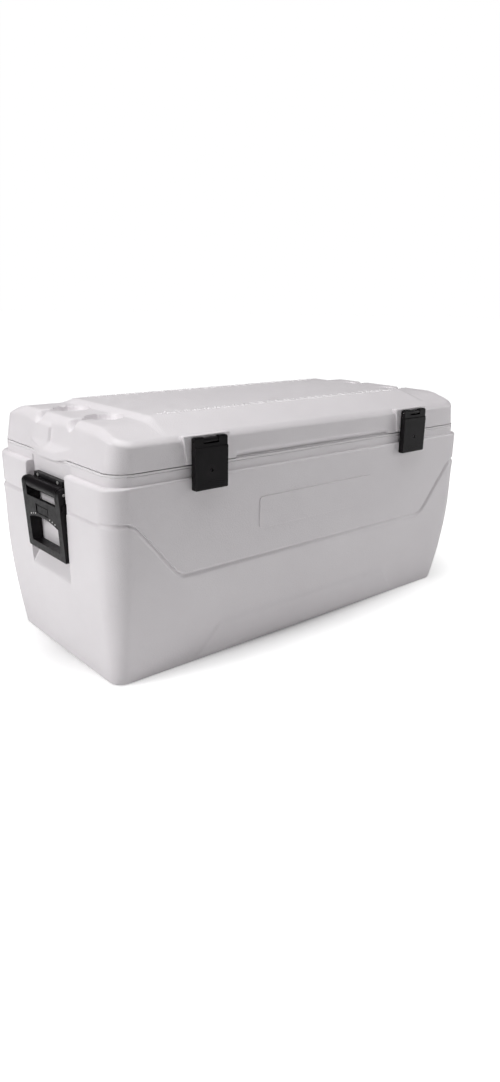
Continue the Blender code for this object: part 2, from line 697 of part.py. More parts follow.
def make_handle(side_name, side, plastic, steel):
    axis = pivot("handle_axis_" + side_name, (side * BARREL_X, 0, BARREL_Z))
    centre = (BARREL_X, BARREL_Z)
    front = BARREL_X + BARREL_R
    low_z = BAIL_BOTTOM + BAIL_CHAMFER
    profile = [(front - BAIL_CHAMFER, BAIL_BOTTOM), (front, low_z)]
    profile += arc(centre, BARREL_R, 0, 180, 10)
    profile += [(BAIL_BACK, BAIL_SHOULDER_Z), (BAIL_BACK, low_z), (BAIL_BACK + BAIL_CHAMFER, BAIL_BOTTOM)]
    bail = prism("handle_bail_" + side_name, "Y", mirrored(profile, side), -BAIL_HALF_Y, BAIL_HALF_Y)
    for end in (-1, 1):
        span = sorted((end * (BAIL_HALF_Y - 0.001), end * (BAIL_HALF_Y + LUG_OUT)))
        xs = sorted(side * x for x in LUG_X)
        low = (xs[0], span[0], LUG_Z[0])
        lug = box(f"handle_lug_{side_name}_{end}", low, (xs[1], span[1], LUG_Z[1]))
        join(bail, lug)
    xs = sorted((side * (RECESS_X - PAST), side * (front + PAST)))
    low = (xs[0], -WINDOW_HALF_Y, PANEL_TOP_Z)
    gap = box("handle_gap_" + side_name, low, (xs[1], WINDOW_HALF_Y, BARREL_Z + 2 * BARREL_R))
    rise = ARCH_TOP_Z - ARCH_FOOT_Z
    radius = (WINDOW_HALF_Y**2 + rise**2) / (2 * rise)
    spread = math.degrees(math.asin(WINDOW_HALF_Y / radius))
    arch = arc((0.0, ARCH_TOP_Z - radius), radius, 90 - spread, 90 + spread, 8)
    foot_y = WINDOW_HALF_Y - WINDOW_CHAMFER
    foot_z = WINDOW_BOTTOM + WINDOW_CHAMFER
    window = [(-WINDOW_HALF_Y, foot_z), (-foot_y, WINDOW_BOTTOM)]
    window += [(foot_y, WINDOW_BOTTOM), (WINDOW_HALF_Y, foot_z)]
    opening = prism("handle_window_" + side_name, "X", window + arch, xs[0], xs[1])
    backs = sorted((side * (BAIL_BACK - PAST), side * (front - PANEL_THICK)))
    low = (backs[0], -WINDOW_HALF_Y, ARCH_FOOT_Z - 2 * PAST)
    hollow = box("handle_back_" + side_name, low, (backs[1], WINDOW_HALF_Y, PANEL_TOP_Z + PAST))
    axis_at = (side * BARREL_X, BARREL_Z)
    reach = BAIL_HALF_Y + PAST
    bore = rod("handle_bore_" + side_name, "Y", axis_at, HANDLE_PIN_R + GAP, -reach, reach, 14)
    cut(bail, gap, opening, hollow, bore)
    finish(bail, plastic, axis)

    back = RECESS_X + GAP
    outline = [(back, BRACKET_BOTTOM), (back + SHELL_WALL, BRACKET_BOTTOM)]
    outline += arc(centre, BARREL_R, -100, 110, 12)
    outline += [(BRACKET_FRONT, BRACKET_NECK_Z), (BRACKET_FRONT, BRACKET_TOP), (back, BRACKET_TOP)]
    half = WINDOW_HALF_Y - 0.0008
    bracket = prism("handle_bracket_" + side_name, "Y", mirrored(outline, side), -half, half)
    holes = bmesh.new()
    for y in (-BRACKET_SCREW_Y, BRACKET_SCREW_Y):
        add_rod(holes, "X", (y, BRACKET_SCREW_Z), HANDLE_HOLE_R, xs[0], xs[1], 10)
    cut(bracket, bore, solid("bracket_holes_" + side_name, holes))
    finish(bracket, plastic)

    pin_half = BAIL_HALF_Y - 0.001
    pin = rod("handle_pin_" + side_name, "Y", axis_at, HANDLE_PIN_R, -pin_half, pin_half, 14)
    finish(pin, steel)
    for number, y in enumerate((-BRACKET_SCREW_Y, BRACKET_SCREW_Y), 1):
        name = f"handle_screw_{side_name}_{number}"
        seat = side * (BRACKET_FRONT + GAP)
        screw(name, "X", (y, BRACKET_SCREW_Z), seat, -side, BRACKET_SCREW_LENGTH, HANDLE_SCREW, steel)


# Drain


def make_drain(plastic, rubber):
    centre = (0.0, DRAIN_Z)
    gasket_x = DRAIN_FACE + GAP
    flange_x = gasket_x + DRAIN_GASKET + GAP
    flange_end = flange_x + DRAIN_FLANGE
    inner_x = TUB_HALF_X - DRAIN_THREAD_LENGTH
    profile = [(DRAIN_BORE_R, inner_x), (DRAIN_TUBE_R, inner_x), (DRAIN_TUBE_R, flange_x)]
    profile += [(DRAIN_FLANGE_R, flange_x), (DRAIN_FLANGE_R, flange_end), (DRAIN_SPIGOT_R, flange_end)]
    profile += [(DRAIN_SPIGOT_R, DRAIN_SPIGOT_END), (DRAIN_BORE_R, DRAIN_SPIGOT_END)]
    finish(turned("drain_body", "X", centre, profile), plastic)

    inner = DRAIN_TUBE_R + GAP
    outer = DRAIN_FLANGE_R - 0.001
    gasket_end = gasket_x + DRAIN_GASKET
    ring = [(inner, gasket_x), (outer, gasket_x), (outer, gasket_end), (inner, gasket_end)]
    finish(turned("drain_gasket", "X", centre, ring), rubber)

    nut_end = TUB_HALF_X - 0.0005
    nut = rod("drain_nut", "X", centre, DRAIN_NUT_R, inner_x + 0.001, nut_end, 6)
    cut(nut, drain_tool("nut_bore", DRAIN_TUBE_R + GAP, inner_x - PAST, TUB_HALF_X + PAST))
    finish(nut, plastic)

    seal = (DRAIN_SPIGOT_END + GAP, DRAIN_SPIGOT_END + GAP + CAP_GASKET)
    cap_floor = seal[1] + GAP
    cap_start = flange_end + 2 * GAP
    cap_end = cap_floor + CAP_FLOOR
    axis = pivot("drain_axis", (cap_start, 0.0, DRAIN_Z))
    cap = rod("drain_cap", "X", centre, DRAIN_CAP_R, cap_start, cap_end, 24)
    cut(cap, drain_tool("cap_space", DRAIN_SPIGOT_R + GAP, cap_start - PAST, cap_floor))
    rise, half_y, half_z = GRIP
    low = (cap_end - 0.001, -half_y, DRAIN_Z - half_z)
    join(cap, box("cap_grip", low, (cap_end + rise, half_y, DRAIN_Z + half_z)))
    finish(cap, plastic, axis)
    outer = DRAIN_SPIGOT_R - GAP
    ring = [(DRAIN_BORE_R, seal[0]), (outer, seal[0]), (outer, seal[1]), (DRAIN_BORE_R, seal[1])]
    finish(turned("drain_cap_gasket", "X", centre, ring), rubber, axis)


def main():
    clear_scene()
    white = material("white_polyethylene", (0.80, 0.79, 0.79), 0.5)
    black = material("black_plastic", (0.022, 0.021, 0.022), 0.45)
    foam = material("insulation_foam", (0.85, 0.78, 0.55), 0.9)
    steel = material("stainless_steel", (0.62, 0.61, 0.59), 0.35, 1.0)
    rubber = material("gasket_rubber", (0.03, 0.03, 0.03), 0.8)
    lid_axis = pivot("lid_axis", (0.0, HINGE_Y, SEAM_Z))
    make_body(white, foam)
    make_lid(lid_axis, white, foam)
    for side_name, side in (("left", -1), ("right", 1)):
        x = side * STATION_X
        make_hinge(side_name, x, lid_axis, white, steel)
        make_latch(side_name, x, lid_axis, black, steel)
        make_handle(side_name, side, black, steel)
    make_drain(white, rubber)


main()
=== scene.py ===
"""The looks of a large chest cooler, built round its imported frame.

Metres, +Z up, in the frame's own place: X runs along the length and the latches are on the -Y side.
"""

import math

import bmesh
import bpy
import numpy as np
from mathutils import Matrix, Vector


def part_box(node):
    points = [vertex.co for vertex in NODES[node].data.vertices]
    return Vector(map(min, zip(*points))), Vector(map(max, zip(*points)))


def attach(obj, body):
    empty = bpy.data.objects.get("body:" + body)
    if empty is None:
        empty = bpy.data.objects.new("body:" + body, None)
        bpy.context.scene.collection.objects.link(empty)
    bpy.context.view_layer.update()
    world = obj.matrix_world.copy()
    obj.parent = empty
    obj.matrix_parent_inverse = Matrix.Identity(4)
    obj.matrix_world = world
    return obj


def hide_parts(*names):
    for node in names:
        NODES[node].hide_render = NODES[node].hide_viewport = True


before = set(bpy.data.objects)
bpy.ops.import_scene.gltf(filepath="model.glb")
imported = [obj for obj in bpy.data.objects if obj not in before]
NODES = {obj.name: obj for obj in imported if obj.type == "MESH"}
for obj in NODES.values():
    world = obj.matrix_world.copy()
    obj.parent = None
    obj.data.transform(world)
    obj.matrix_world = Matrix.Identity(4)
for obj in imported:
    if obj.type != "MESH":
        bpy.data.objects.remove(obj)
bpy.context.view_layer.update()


def side_of(node, axis, end):
    """One side of a node's box: axis 0 to 2, end 0 for its low side and 1 for its high side."""
    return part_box(node)[end][axis]


# The sheet's thickness, and the gap between pieces that touch
SHEET = 0.0025
GAP = 0.0003

# The outer body
BODY_HALF_X = side_of("outer_shell", 0, 1)
BODY_HALF_Y = side_of("outer_shell", 1, 1)
RIM_Z = side_of("outer_shell", 2, 1)
BODY_CORNER = 0.0514
STRAIGHT_Z = 0.26
TUCK_POWER = 1.8
END_TUCK = 0.0215
SIDE_TUCK = 0.0354
CORNER_TUCK = 0.020
FOOT_ROUND = 0.006
BASE_BORDER = 0.030
BASE_HOLLOW = 0.002
LEDGE_Z = 0.417
LEDGE_ROUND = 0.0075
LEDGE_ROUND_FRONT = 0.0045
LEDGE_TOP = (0.45, 0.86)
LEDGE_FALL = 0.0006
LEDGE_FILLET = 0.0026
COLLAR_HALF_X = side_of("lid_liner", 0, 1) + 0.0033
COLLAR_HALF_Y = side_of("lid_liner", 1, 1) + 0.0033
COLLAR_CORNER = 0.0425

# The groove round the body, which dips along the front and the back
GROOVE_HIGH_Z = 0.349
GROOVE_LOW_Z = 0.2232
GROOVE_BEND_X = (0.380, 0.486)
GROOVE_SOFT = 0.14
GROOVE_DEPTH = 0.0030
GROOVE_TOP = 0.0028
GROOVE_BOTTOM = -0.0085
GROOVE_FLOOR = 0.0012
GROOVE_ROLL = 0.0012
ROLL_Z = (-0.0045, -0.0105, -0.0120, -0.0400)
GROOVE_END_Y = (0.0918, 0.0965)

# The raised pad low on the front and back
PAD_RISE = 0.0030
PAD_HALF_X = (0.318, 0.270)
PAD_Z = (0.025, 0.088)
PAD_FOOT_Z = (0.005, 0.014)
PAD_SIDE = 0.010
PAD_TOP = (0.006, 0.012)

# The handle recesses
RECESS_X = 0.519
RECESS_HALF_Y = (0.0853, 0.0875)
RECESS_FLOOR_Z = 0.222
RECESS_LIP_Z = 0.187
RECESS_TOP_Z = (0.4285, 0.4305)
RECESS_BEND = 0.004
RECESS_EDGE = 0.0025
NOTCH_Z = (0.338, 0.362)
NOTCH_SOFT = 0.003
NOTCH_HALF_Y = 0.0035

# The drain
DRAIN_Z = (side_of("drain_body", 2, 0) + side_of("drain_body", 2, 1)) / 2
DRAIN_FACE = side_of("drain_gasket", 0, 0) - GAP
POCKET_R = (0.0215, 0.0245)
DRAIN_HOLE_R = 0.0112

# The front plaque, and the catches under the latches
PLAQUE_HALF_X = 0.176
PLAQUE_Z = (0.283, 0.352)
PLAQUE_CORNER = 0.008
PLAQUE_RISE = 0.0018
PLAQUE_ROOT = 0.0010
CATCH_HALF_X = 0.030
CATCH_Z = (0.3975, 0.3990, 0.4000, 0.4052, 0.4060)
CATCH_SLOPE = 0.0008
CATCH_ROOT = 0.0012

# The lid
SEAM_Z = 0.441
LID_HALF_X = 0.5110
LID_HALF_Y = COLLAR_HALF_Y
LID_CORNER = COLLAR_CORNER
END_LEAN = 0.0110
PANEL_Z = 0.529
PLATEAU_Z = 0.520
PANEL_HALF_Y = 0.155
PLATEAU_HALF_Y = 0.168
SLOPE_FOOT = (0.240, 0.4985)
PANEL_BEND = 0.0022
PLATEAU_BEND = 0.006
RISER_X = (0.382, 0.403)
RISER_SWEEP = 0.011
RISER_SWEEP_Y = (0.165, 0.245)
RISER_EASE = 0.2
EDGE_WIDTH = (0.012, 0.016)
EDGE_Z = (0.487, 0.496)
EDGE_CREASE = 0.3
CUP_AT = (0.434, 0.0695)
CUP_R = (0.0355, 0.0385)
CUP_Z = 0.508
CHANNEL_Z = (0.5065, 0.4985)
CHANNEL_HALF_Y = 0.0015
CHANNEL_SLOPE = 1.5
CHANNEL_BEND = 0.002
CHANNEL_EDGE = 0.0010
LIP_RISE = 0.009
LIP_HALF_Y = (0.030, 0.088)
LIP_Z = (0.4475, 0.4690)
LIP_DIP = 0.0045
LIP_BEND = 0.06
STEP_RISE = 0.0046
STEP_Y = (0.0065, 0.060, 0.135)
STEP_Z = (0.4480, 0.4640, 0.4965, 0.5055)
STEP_SHARP = 0.0025
SCOOP_Z = (0.4540, 0.4680)
SCOOP_WIDTH = 0.020
FINGER_HALF_X = (0.229, 0.238)
FINGER_DEPTH = 0.006
FINGER_Z = (0.4455, 0.4585)
SEAM_GAP = 0.0016
SEAM_ROUND = 0.0008
FLANGE_INSET = 0.0030
BOSS_HALF_X = (0.0485, 0.0565)
BOSS_Z = (0.4455, 0.4995)
BOSS_BACK_Y = -0.236
FOAM_SHARE = (0.955, 0.970, 0.70)

STATION_X = (side_of("latch_pin_right", 0, 0) + side_of("latch_pin_right", 0, 1)) / 2
SIDES = (("left", -1), ("right", 1))


# Arithmetic on arrays


def smooth(start, end, value):
    """0 up to start and 1 from end on, with a smooth step between them."""
    share = np.clip((value - start) / (end - start), 0.0, 1.0)
    return share * share * (3.0 - 2.0 * share)


def soft_min(one, other, blend):
    """The lesser of two values, rounded off where they meet."""
    share = np.clip(0.5 + 0.5 * (other - one) / blend, 0.0, 1.0)
    return other + (one - other) * share - blend * share * (1.0 - share)


def soft_max(one, other, blend):
    return -soft_min(-one, -other, blend)


def mix(one, other, share):
    return one + (other - one) * share


def stops(*runs):
    """Places along a line from 0: each run goes on to an end at a spacing."""
    places = [0.0]
    for end, spacing in runs:
        start = places[-1]
        count = max(1, round((end - start) / spacing))
        places += [start + (end - start) * step / count for step in range(1, count + 1)]
    return places


def both_ways(places):
    return np.array([-place for place in places[:0:-1]] + places)


# Meshes


def piece(name, verts, faces, look, body, sharp=50.0):
    mesh = bpy.data.meshes.new(name)
    mesh.from_pydata(verts, [], faces)
    return dress(name, mesh, look, body, sharp)


def dress(name, mesh, look, body, sharp=50.0):
    """An object of this mesh, with its finish, riding on its body."""
    mesh.shade_smooth()
    mesh.set_sharp_from_angle(angle=math.radians(sharp))
    mesh.materials.clear()
    mesh.materials.append(look.material)
    obj = bpy.data.objects.new(name, mesh)
    bpy.context.scene.collection.objects.link(obj)
    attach(obj, body)
    return obj


def thicken(obj, thickness):
    """Gives a sheet its wall, on its inner side."""
    wall = obj.modifiers.new("wall", "SOLIDIFY")
    wall.thickness = thickness
    wall.offset = -1.0
    wall.use_rim = True


def soften(obj, width, segments=2, angle=35.0):
    """Rounds the edges of a piece with flat faces."""
    bevel = obj.modifiers.new("edges", "BEVEL")
    bevel.width = width
    bevel.segments = segments
    bevel.limit_method = "ANGLE"
    bevel.angle_limit = math.radians(angle)
    bevel.harden_normals = True
    bevel.use_clamp_overlap = True


def strip(rows, columns, first=0):
    """The faces between rows of vertices that each close round a loop of columns."""
    faces = []
    for row in range(rows - 1):
        low = first + row * columns
        for column in range(columns):
            after = (column + 1) % columns
            faces.append((low + column, low + after, low + columns + after, low + columns + column))
    return faces


def perimeter(end_stops, side_stops, corner_steps):
    """Columns round a rounded rectangle, from the right end: shares of the straight in x and y, and angle."""
    ends = both_ways(end_stops) / end_stops[-1]
    sides = both_ways(side_stops) / side_stops[-1]
    turn = [90.0 * step / corner_steps for step in range(1, corner_steps)]
    columns = []
    for quarter, along in enumerate((ends, sides, ends, sides)):
        angle = 90.0 * quarter
        for share in along:
            straight = ((1, share), (-share, 1), (-1, -share), (share, -1))[quarter]
            columns.append((*straight, angle))
        corner = ((1, 1), (-1, 1), (-1, -1), (1, -1))[quarter]
        columns += [(*corner, angle + step) for step in turn]
    table = np.array(columns)
    return table[:, 0], table[:, 1], np.radians(table[:, 2])


# Small solids for the hard parts

AXES = {"X": (1, 2, 0), "Y": (0, 2, 1), "Z": (0, 1, 2)}


def place(axis, u, v, w):
    """The point with coordinates u and v across an axis and w along it."""
    point = [0.0, 0.0, 0.0]
    for index, value in zip(AXES[axis], (u, v, w)):
        point[index] = value
    return Vector(point)


def loft(rings):
    """A closed mesh through a stack of equal rings of points."""
    bm = bmesh.new()
    loops = [[bm.verts.new(point) for point in ring] for ring in rings]
    count = len(loops[0])
    for low, high in zip(loops, loops[1:]):
        for step in range(count):
            after = (step + 1) % count
            bm.faces.new((low[step], low[after], high[after], high[step]))
    bm.faces.new(loops[0][::-1])
    bm.faces.new(loops[-1])
    bmesh.ops.recalc_face_normals(bm, faces=bm.faces[:])
    mesh = bpy.data.meshes.new("solid")
    bm.to_mesh(mesh)
    bm.free()
    return mesh


def prism(axis, outline, start, end):
    return loft([[place(axis, u, v, w) for u, v in outline] for w in (start, end)])


def block(low, high):
    outline = [(low[0], low[1]), (high[0], low[1]), (high[0], high[1]), (low[0], high[1])]
    return prism("Z", outline, low[2], high[2])


def circle(centre, radius, steps):
    turn = [2 * math.pi * (step + 0.5) / steps for step in range(steps)]
    return [(centre[0] + radius * math.cos(a), centre[1] + radius * math.sin(a)) for a in turn]


def rod(axis, centre, radius, start, end, steps=24):
    return prism(axis, circle(centre, radius, steps), start, end)


def stacked(axis, centre, profile, steps=24):
    """A turned solid: circles of (radius, height) about a centre, closed at both ends."""
    return loft([[place(axis, u, v, w) for u, v in circle(centre, radius, steps)] for radius, w in profile])


def arc(centre, radius, first, last, steps):
    """Points from angle first to angle last, in degrees."""
    angles = [math.radians(first + (last - first) * step / steps) for step in range(steps + 1)]
    return [(centre[0] + radius * math.cos(a), centre[1] + radius * math.sin(a)) for a in angles]


def rounded(half_u, low_v, high_v, radius, steps=5):
    """A rectangle symmetric in u, with round corners."""
    outline = []
    for quarter, (u, v) in enumerate(((1, high_v), (-1, high_v), (-1, low_v), (1, low_v))):
        centre = (u * (half_u - radius), v - radius if v == high_v else v + radius)
        outline += arc(centre, radius, 90 * quarter, 90 * quarter + 90, steps)
    return outline


def carve(mesh, *steps):
    """Combines meshes one by one: each step is (operation, mesh)."""
    obj = bpy.data.objects.new("carved", mesh)
    bpy.context.scene.collection.objects.link(obj)
    tools = []
    for operation, shape in steps:
        tool = bpy.data.objects.new("tool", shape)
        bpy.context.scene.collection.objects.link(tool)
        tools.append(tool)
        modifier = obj.modifiers.new(operation.lower(), "BOOLEAN")
        modifier.operation = operation
        modifier.solver = "EXACT"
        modifier.object = tool
    graph = bpy.context.evaluated_depsgraph_get()
    made = bpy.data.meshes.new_from_object(obj.evaluated_get(graph))
    for extra in [obj, *tools]:
        bpy.data.objects.remove(extra, do_unlink=True)
    return made


def joined(meshes):
    """One mesh that holds several, without combining their volumes."""
    bm = bmesh.new()
    for mesh in meshes:
        bm.from_mesh(mesh)
    made = bpy.data.meshes.new("joined")
    bm.to_mesh(made)
    bm.free()
    return made


# Finishes


class Look:
    """A procedural material and the record's slot that it finishes."""

    def __init__(self, name, slot, roughness, metallic=0.0):
        self.slot = slot
        self.material = bpy.data.materials.new(name)
        self.material.use_nodes = True
        self.tree = self.material.node_tree
        self.shader = self.tree.nodes["Principled BSDF"]
        self.shader.inputs["Roughness"].default_value = roughness
        self.shader.inputs["Metallic"].default_value = metallic
        self.where = self.add("ShaderNodeTexCoord").outputs["Object"]
        self.normal = None

    def add(self, kind, **values):
        node = self.tree.nodes.new(kind)
        for name, value in values.items():
            if isinstance(value, bpy.types.NodeSocket):
                self.tree.links.new(value, node.inputs[name])
            else:
                node.inputs[name].default_value = value
        return node

    def noise(self, scale, detail=2.0, roughness=0.5, stretch=None):
        where = self.where
        if stretch:
            where = self.add("ShaderNodeMapping", Vector=where, Scale=stretch).outputs["Vector"]
        values = {"Scale": scale, "Detail": detail, "Roughness": roughness}
        return self.add("ShaderNodeTexNoise", Vector=where, **values).outputs["Fac"]

    def cells(self, scale):
        node = self.add("ShaderNodeTexVoronoi", Vector=self.where, Scale=scale)
        return node.outputs["Distance"]

    def between(self, factor, low, high, start=0.3, end=0.7):
        """Maps a factor to a range of values."""
        node = self.add("ShaderNodeMapRange", Value=factor)
        for name, value in (("From Min", start), ("From Max", end), ("To Min", low), ("To Max", high)):
            node.inputs[name].default_value = value
        return node.outputs["Result"]

    def colour(self, factor, dark, light, start=0.3, end=0.7):
        ramp = self.add("ShaderNodeValToRGB", Fac=factor)
        for element, position, shade in zip(ramp.color_ramp.elements, (start, end), (dark, light)):
            element.position = position
            element.color = (*shade, 1.0)
        self.tree.links.new(ramp.outputs["Color"], self.shader.inputs["Base Color"])

    def rough(self, factor, low, high, start=0.3, end=0.7):
        value = self.between(factor, low, high, start, end)
        self.tree.links.new(value, self.shader.inputs["Roughness"])

    def bump(self, height, strength, distance):
        node = self.add("ShaderNodeBump", Height=height, Strength=strength, Distance=distance)
        if self.normal:
            self.tree.links.new(self.normal, node.inputs["Normal"])
        self.normal = node.outputs["Normal"]
        self.tree.links.new(self.normal, self.shader.inputs["Normal"])


def white_shell():
    """Textured white polyethylene: a fine pebble grain over slow waves of the moulding."""
    look = Look("white_shell_finish", "white_shell", 0.40)
    look.colour(look.noise(5.0, 3.0), (0.775, 0.742, 0.763), (0.808, 0.777, 0.797))
    look.rough(look.noise(38.0, 3.0), 0.33, 0.46)
    look.bump(look.noise(9.0, 1.0), 0.35, 0.0012)
    look.bump(look.cells(340.0), 0.55, 0.00045)
    look.bump(look.noise(1500.0, 1.0), 0.30, 0.00012)
    return look


def white_marks():
    """The raised marks of the measuring scales, coloured brighter than the panel round them as a painted
    highlight for the light their edges catch.
    """
    look = Look("painted_highlight_marks_finish", "white_shell", 0.34)
    # Painted highlight: a lighter colour than the shell's, standing in for light caught on the raised marks
    look.colour(look.noise(70.0, 2.0), (0.885, 0.880, 0.880), (0.930, 0.925, 0.925))
    look.rough(look.noise(120.0, 2.0), 0.30, 0.42)
    look.bump(look.noise(1200.0, 1.0), 0.2, 0.0001)
    return look


def white_liner():
    look = Look("white_liner_finish", "white_liner", 0.30)
    look.colour(look.noise(6.0, 2.0), (0.800, 0.776, 0.790), (0.830, 0.806, 0.820))
    look.rough(look.noise(30.0, 2.0), 0.28, 0.38)
    look.bump(look.noise(14.0, 1.0), 0.3, 0.0008)
    look.bump(look.cells(420.0), 0.25, 0.0002)
    return look


def white_fittings():
    look = Look("white_fittings_finish", "white_fittings", 0.40)
    look.colour(look.noise(60.0, 2.0), (0.790, 0.764, 0.780), (0.820, 0.794, 0.811))
    look.rough(look.noise(180.0, 2.0), 0.36, 0.48)
    look.bump(look.noise(1100.0, 1.0), 0.25, 0.0001)
    return look


def black_plastic():
    """Moulded black plastic with a fine spark-eroded texture and faint scuffs."""
    look = Look("black_plastic_finish", "black_plastic", 0.36)
    look.colour(look.noise(40.0, 4.0), (0.0045, 0.0038, 0.0045), (0.0085, 0.0072, 0.0084))
    look.rough(look.noise(90.0, 3.0), 0.30, 0.46)
    look.shader.inputs["Specular IOR Level"].default_value = 0.18
    look.bump(look.cells(1300.0), 0.30, 0.00010)
    look.bump(look.noise(2400.0, 1.0), 0.30, 0.00008)
    return look


def stainless_steel():
    look = Look("steel_finish", "steel", 0.30, 1.0)
    look.colour(look.noise(300.0, 2.0), (0.58, 0.57, 0.56), (0.68, 0.67, 0.66))
    look.rough(look.noise(220.0, 3.0), 0.24, 0.40)
    look.bump(look.noise(2600.0, 2.0, stretch=(1.0, 0.15, 1.0)), 0.25, 0.00006)
    return look


def gasket_rubber():
    look = Look("rubber_finish", "rubber", 0.75)
    look.colour(look.noise(120.0, 3.0), (0.020, 0.020, 0.021), (0.034, 0.034, 0.035))
    look.rough(look.noise(200.0, 2.0), 0.68, 0.84)
    look.bump(look.noise(1600.0, 1.0), 0.3, 0.0001)
    return look


def insulation_foam():
    look = Look("foam_finish", "foam", 0.92)
    look.colour(look.noise(50.0, 3.0), (0.76, 0.68, 0.44), (0.86, 0.79, 0.56))
    look.bump(look.cells(420.0), 0.7, 0.0008)
    return look


# Body


def groove_height(along):
    """The groove's height at a distance from the middle of the front, measured round the body."""
    start, end = GROOVE_BEND_X
    share = (along - start) / (end - start)
    share = soft_min(soft_max(share, 0.0, GROOVE_SOFT), 1.0, GROOVE_SOFT)
    return mix(GROOVE_LOW_Z, GROOVE_HIGH_Z, share)


def body_outline(z):
    tuck = np.maximum(0.0, 1.0 - z / STRAIGHT_Z) ** TUCK_POWER
    half_x = BODY_HALF_X - END_TUCK * tuck
    return half_x, BODY_HALF_Y - SIDE_TUCK * tuck, BODY_CORNER - CORNER_TUCK * tuck


def body_rows(groove, slant, ledge_round):
    """Rows from the middle of the base up to the rim: heights over the columns, share of the ledge, inset."""
    flat = np.ones_like(groove)
    inner = FOOT_ROUND + BASE_BORDER
    rows = [(BASE_HOLLOW * flat, 0.0, inner + 0.003), (0.0 * flat, 0.0, inner)]
    for turn in np.radians(np.linspace(0.0, 90.0, 6)):
        height = FOOT_ROUND * (1.0 - math.cos(turn))
        rows.append((height * flat, 0.0, FOOT_ROUND * (1.0 - math.sin(turn))))
    # Close rows cross the drain's pocket and the pad
    low = [0.009, 0.012, 0.016, 0.020, 0.024, 0.028, 0.032, *np.arange(0.036, 0.0895, 0.002), 0.094, 0.100]
    rows += [(height * flat, 0.0, 0.0) for height in low]
    # The groove's section, from the roll under it to its upper edge
    band = np.array([-0.0105, -0.0085, -0.0068, -0.0050, -0.0034, -0.0020, -0.0010, 0.0])
    band = np.concatenate([band, [0.0009, 0.0018, 0.0026, 0.0034, 0.0050]])
    below = groove + band[0] * slant
    # Heights at the ends, where close rows cross the recess's lip and floor
    lip = [0.140, 0.170, 0.180, 0.184, 0.1865, 0.189, 0.192, 0.196, 0.201, 0.207, 0.212, 0.216, 0.219]
    lip += [0.222, 0.225, 0.229, 0.238, 0.260, 0.290, 0.318]
    reach = GROOVE_HIGH_Z + band[0] - low[-1]
    rows += [(mix(low[-1], below, (height - low[-1]) / reach), 0.0, 0.0) for height in lip]
    rows += [(groove + offset * slant, 0.0, 0.0) for offset in band]
    above = groove + band[-1] * slant
    edge = LEDGE_Z - ledge_round
    rows += [(mix(above, edge, share), 0.0, 0.0) for share in (0.12, 0.26, 0.4, 0.55, 0.7, 0.84, 0.94, 1.0)]
    # The ledge: its round edge, its nearly flat top, and the fillet up to the collar
    for turn in np.radians(np.linspace(12.0, 90.0, 7)):
        rows.append((edge + ledge_round * math.sin(turn), LEDGE_TOP[0] * (1.0 - math.cos(turn)), 0.0))
    for share in (0.55, 0.66, 0.77, LEDGE_TOP[1]):
        rows.append(((LEDGE_Z + LEDGE_FALL * (share - LEDGE_TOP[0])) * flat, share, 0.0))
    for turn in np.radians((25.0, 50.0, 70.0, 90.0)):
        height = LEDGE_Z + LEDGE_FALL / 2 + LEDGE_FILLET * (1.0 - math.cos(turn))
        rows.append((height * flat, mix(LEDGE_TOP[1], 1.0, math.sin(turn)), 0.0))
    rows += [(height * flat, 1.0, 0.0) for height in (0.4235, 0.4275, 0.4289, 0.4301, 0.4313, 0.4335, 0.4350)]
    rows += [((RIM_Z - 0.0004) * flat, 1.0, 0.0003), (RIM_Z * flat, 1.0, 0.0012)]
    return rows


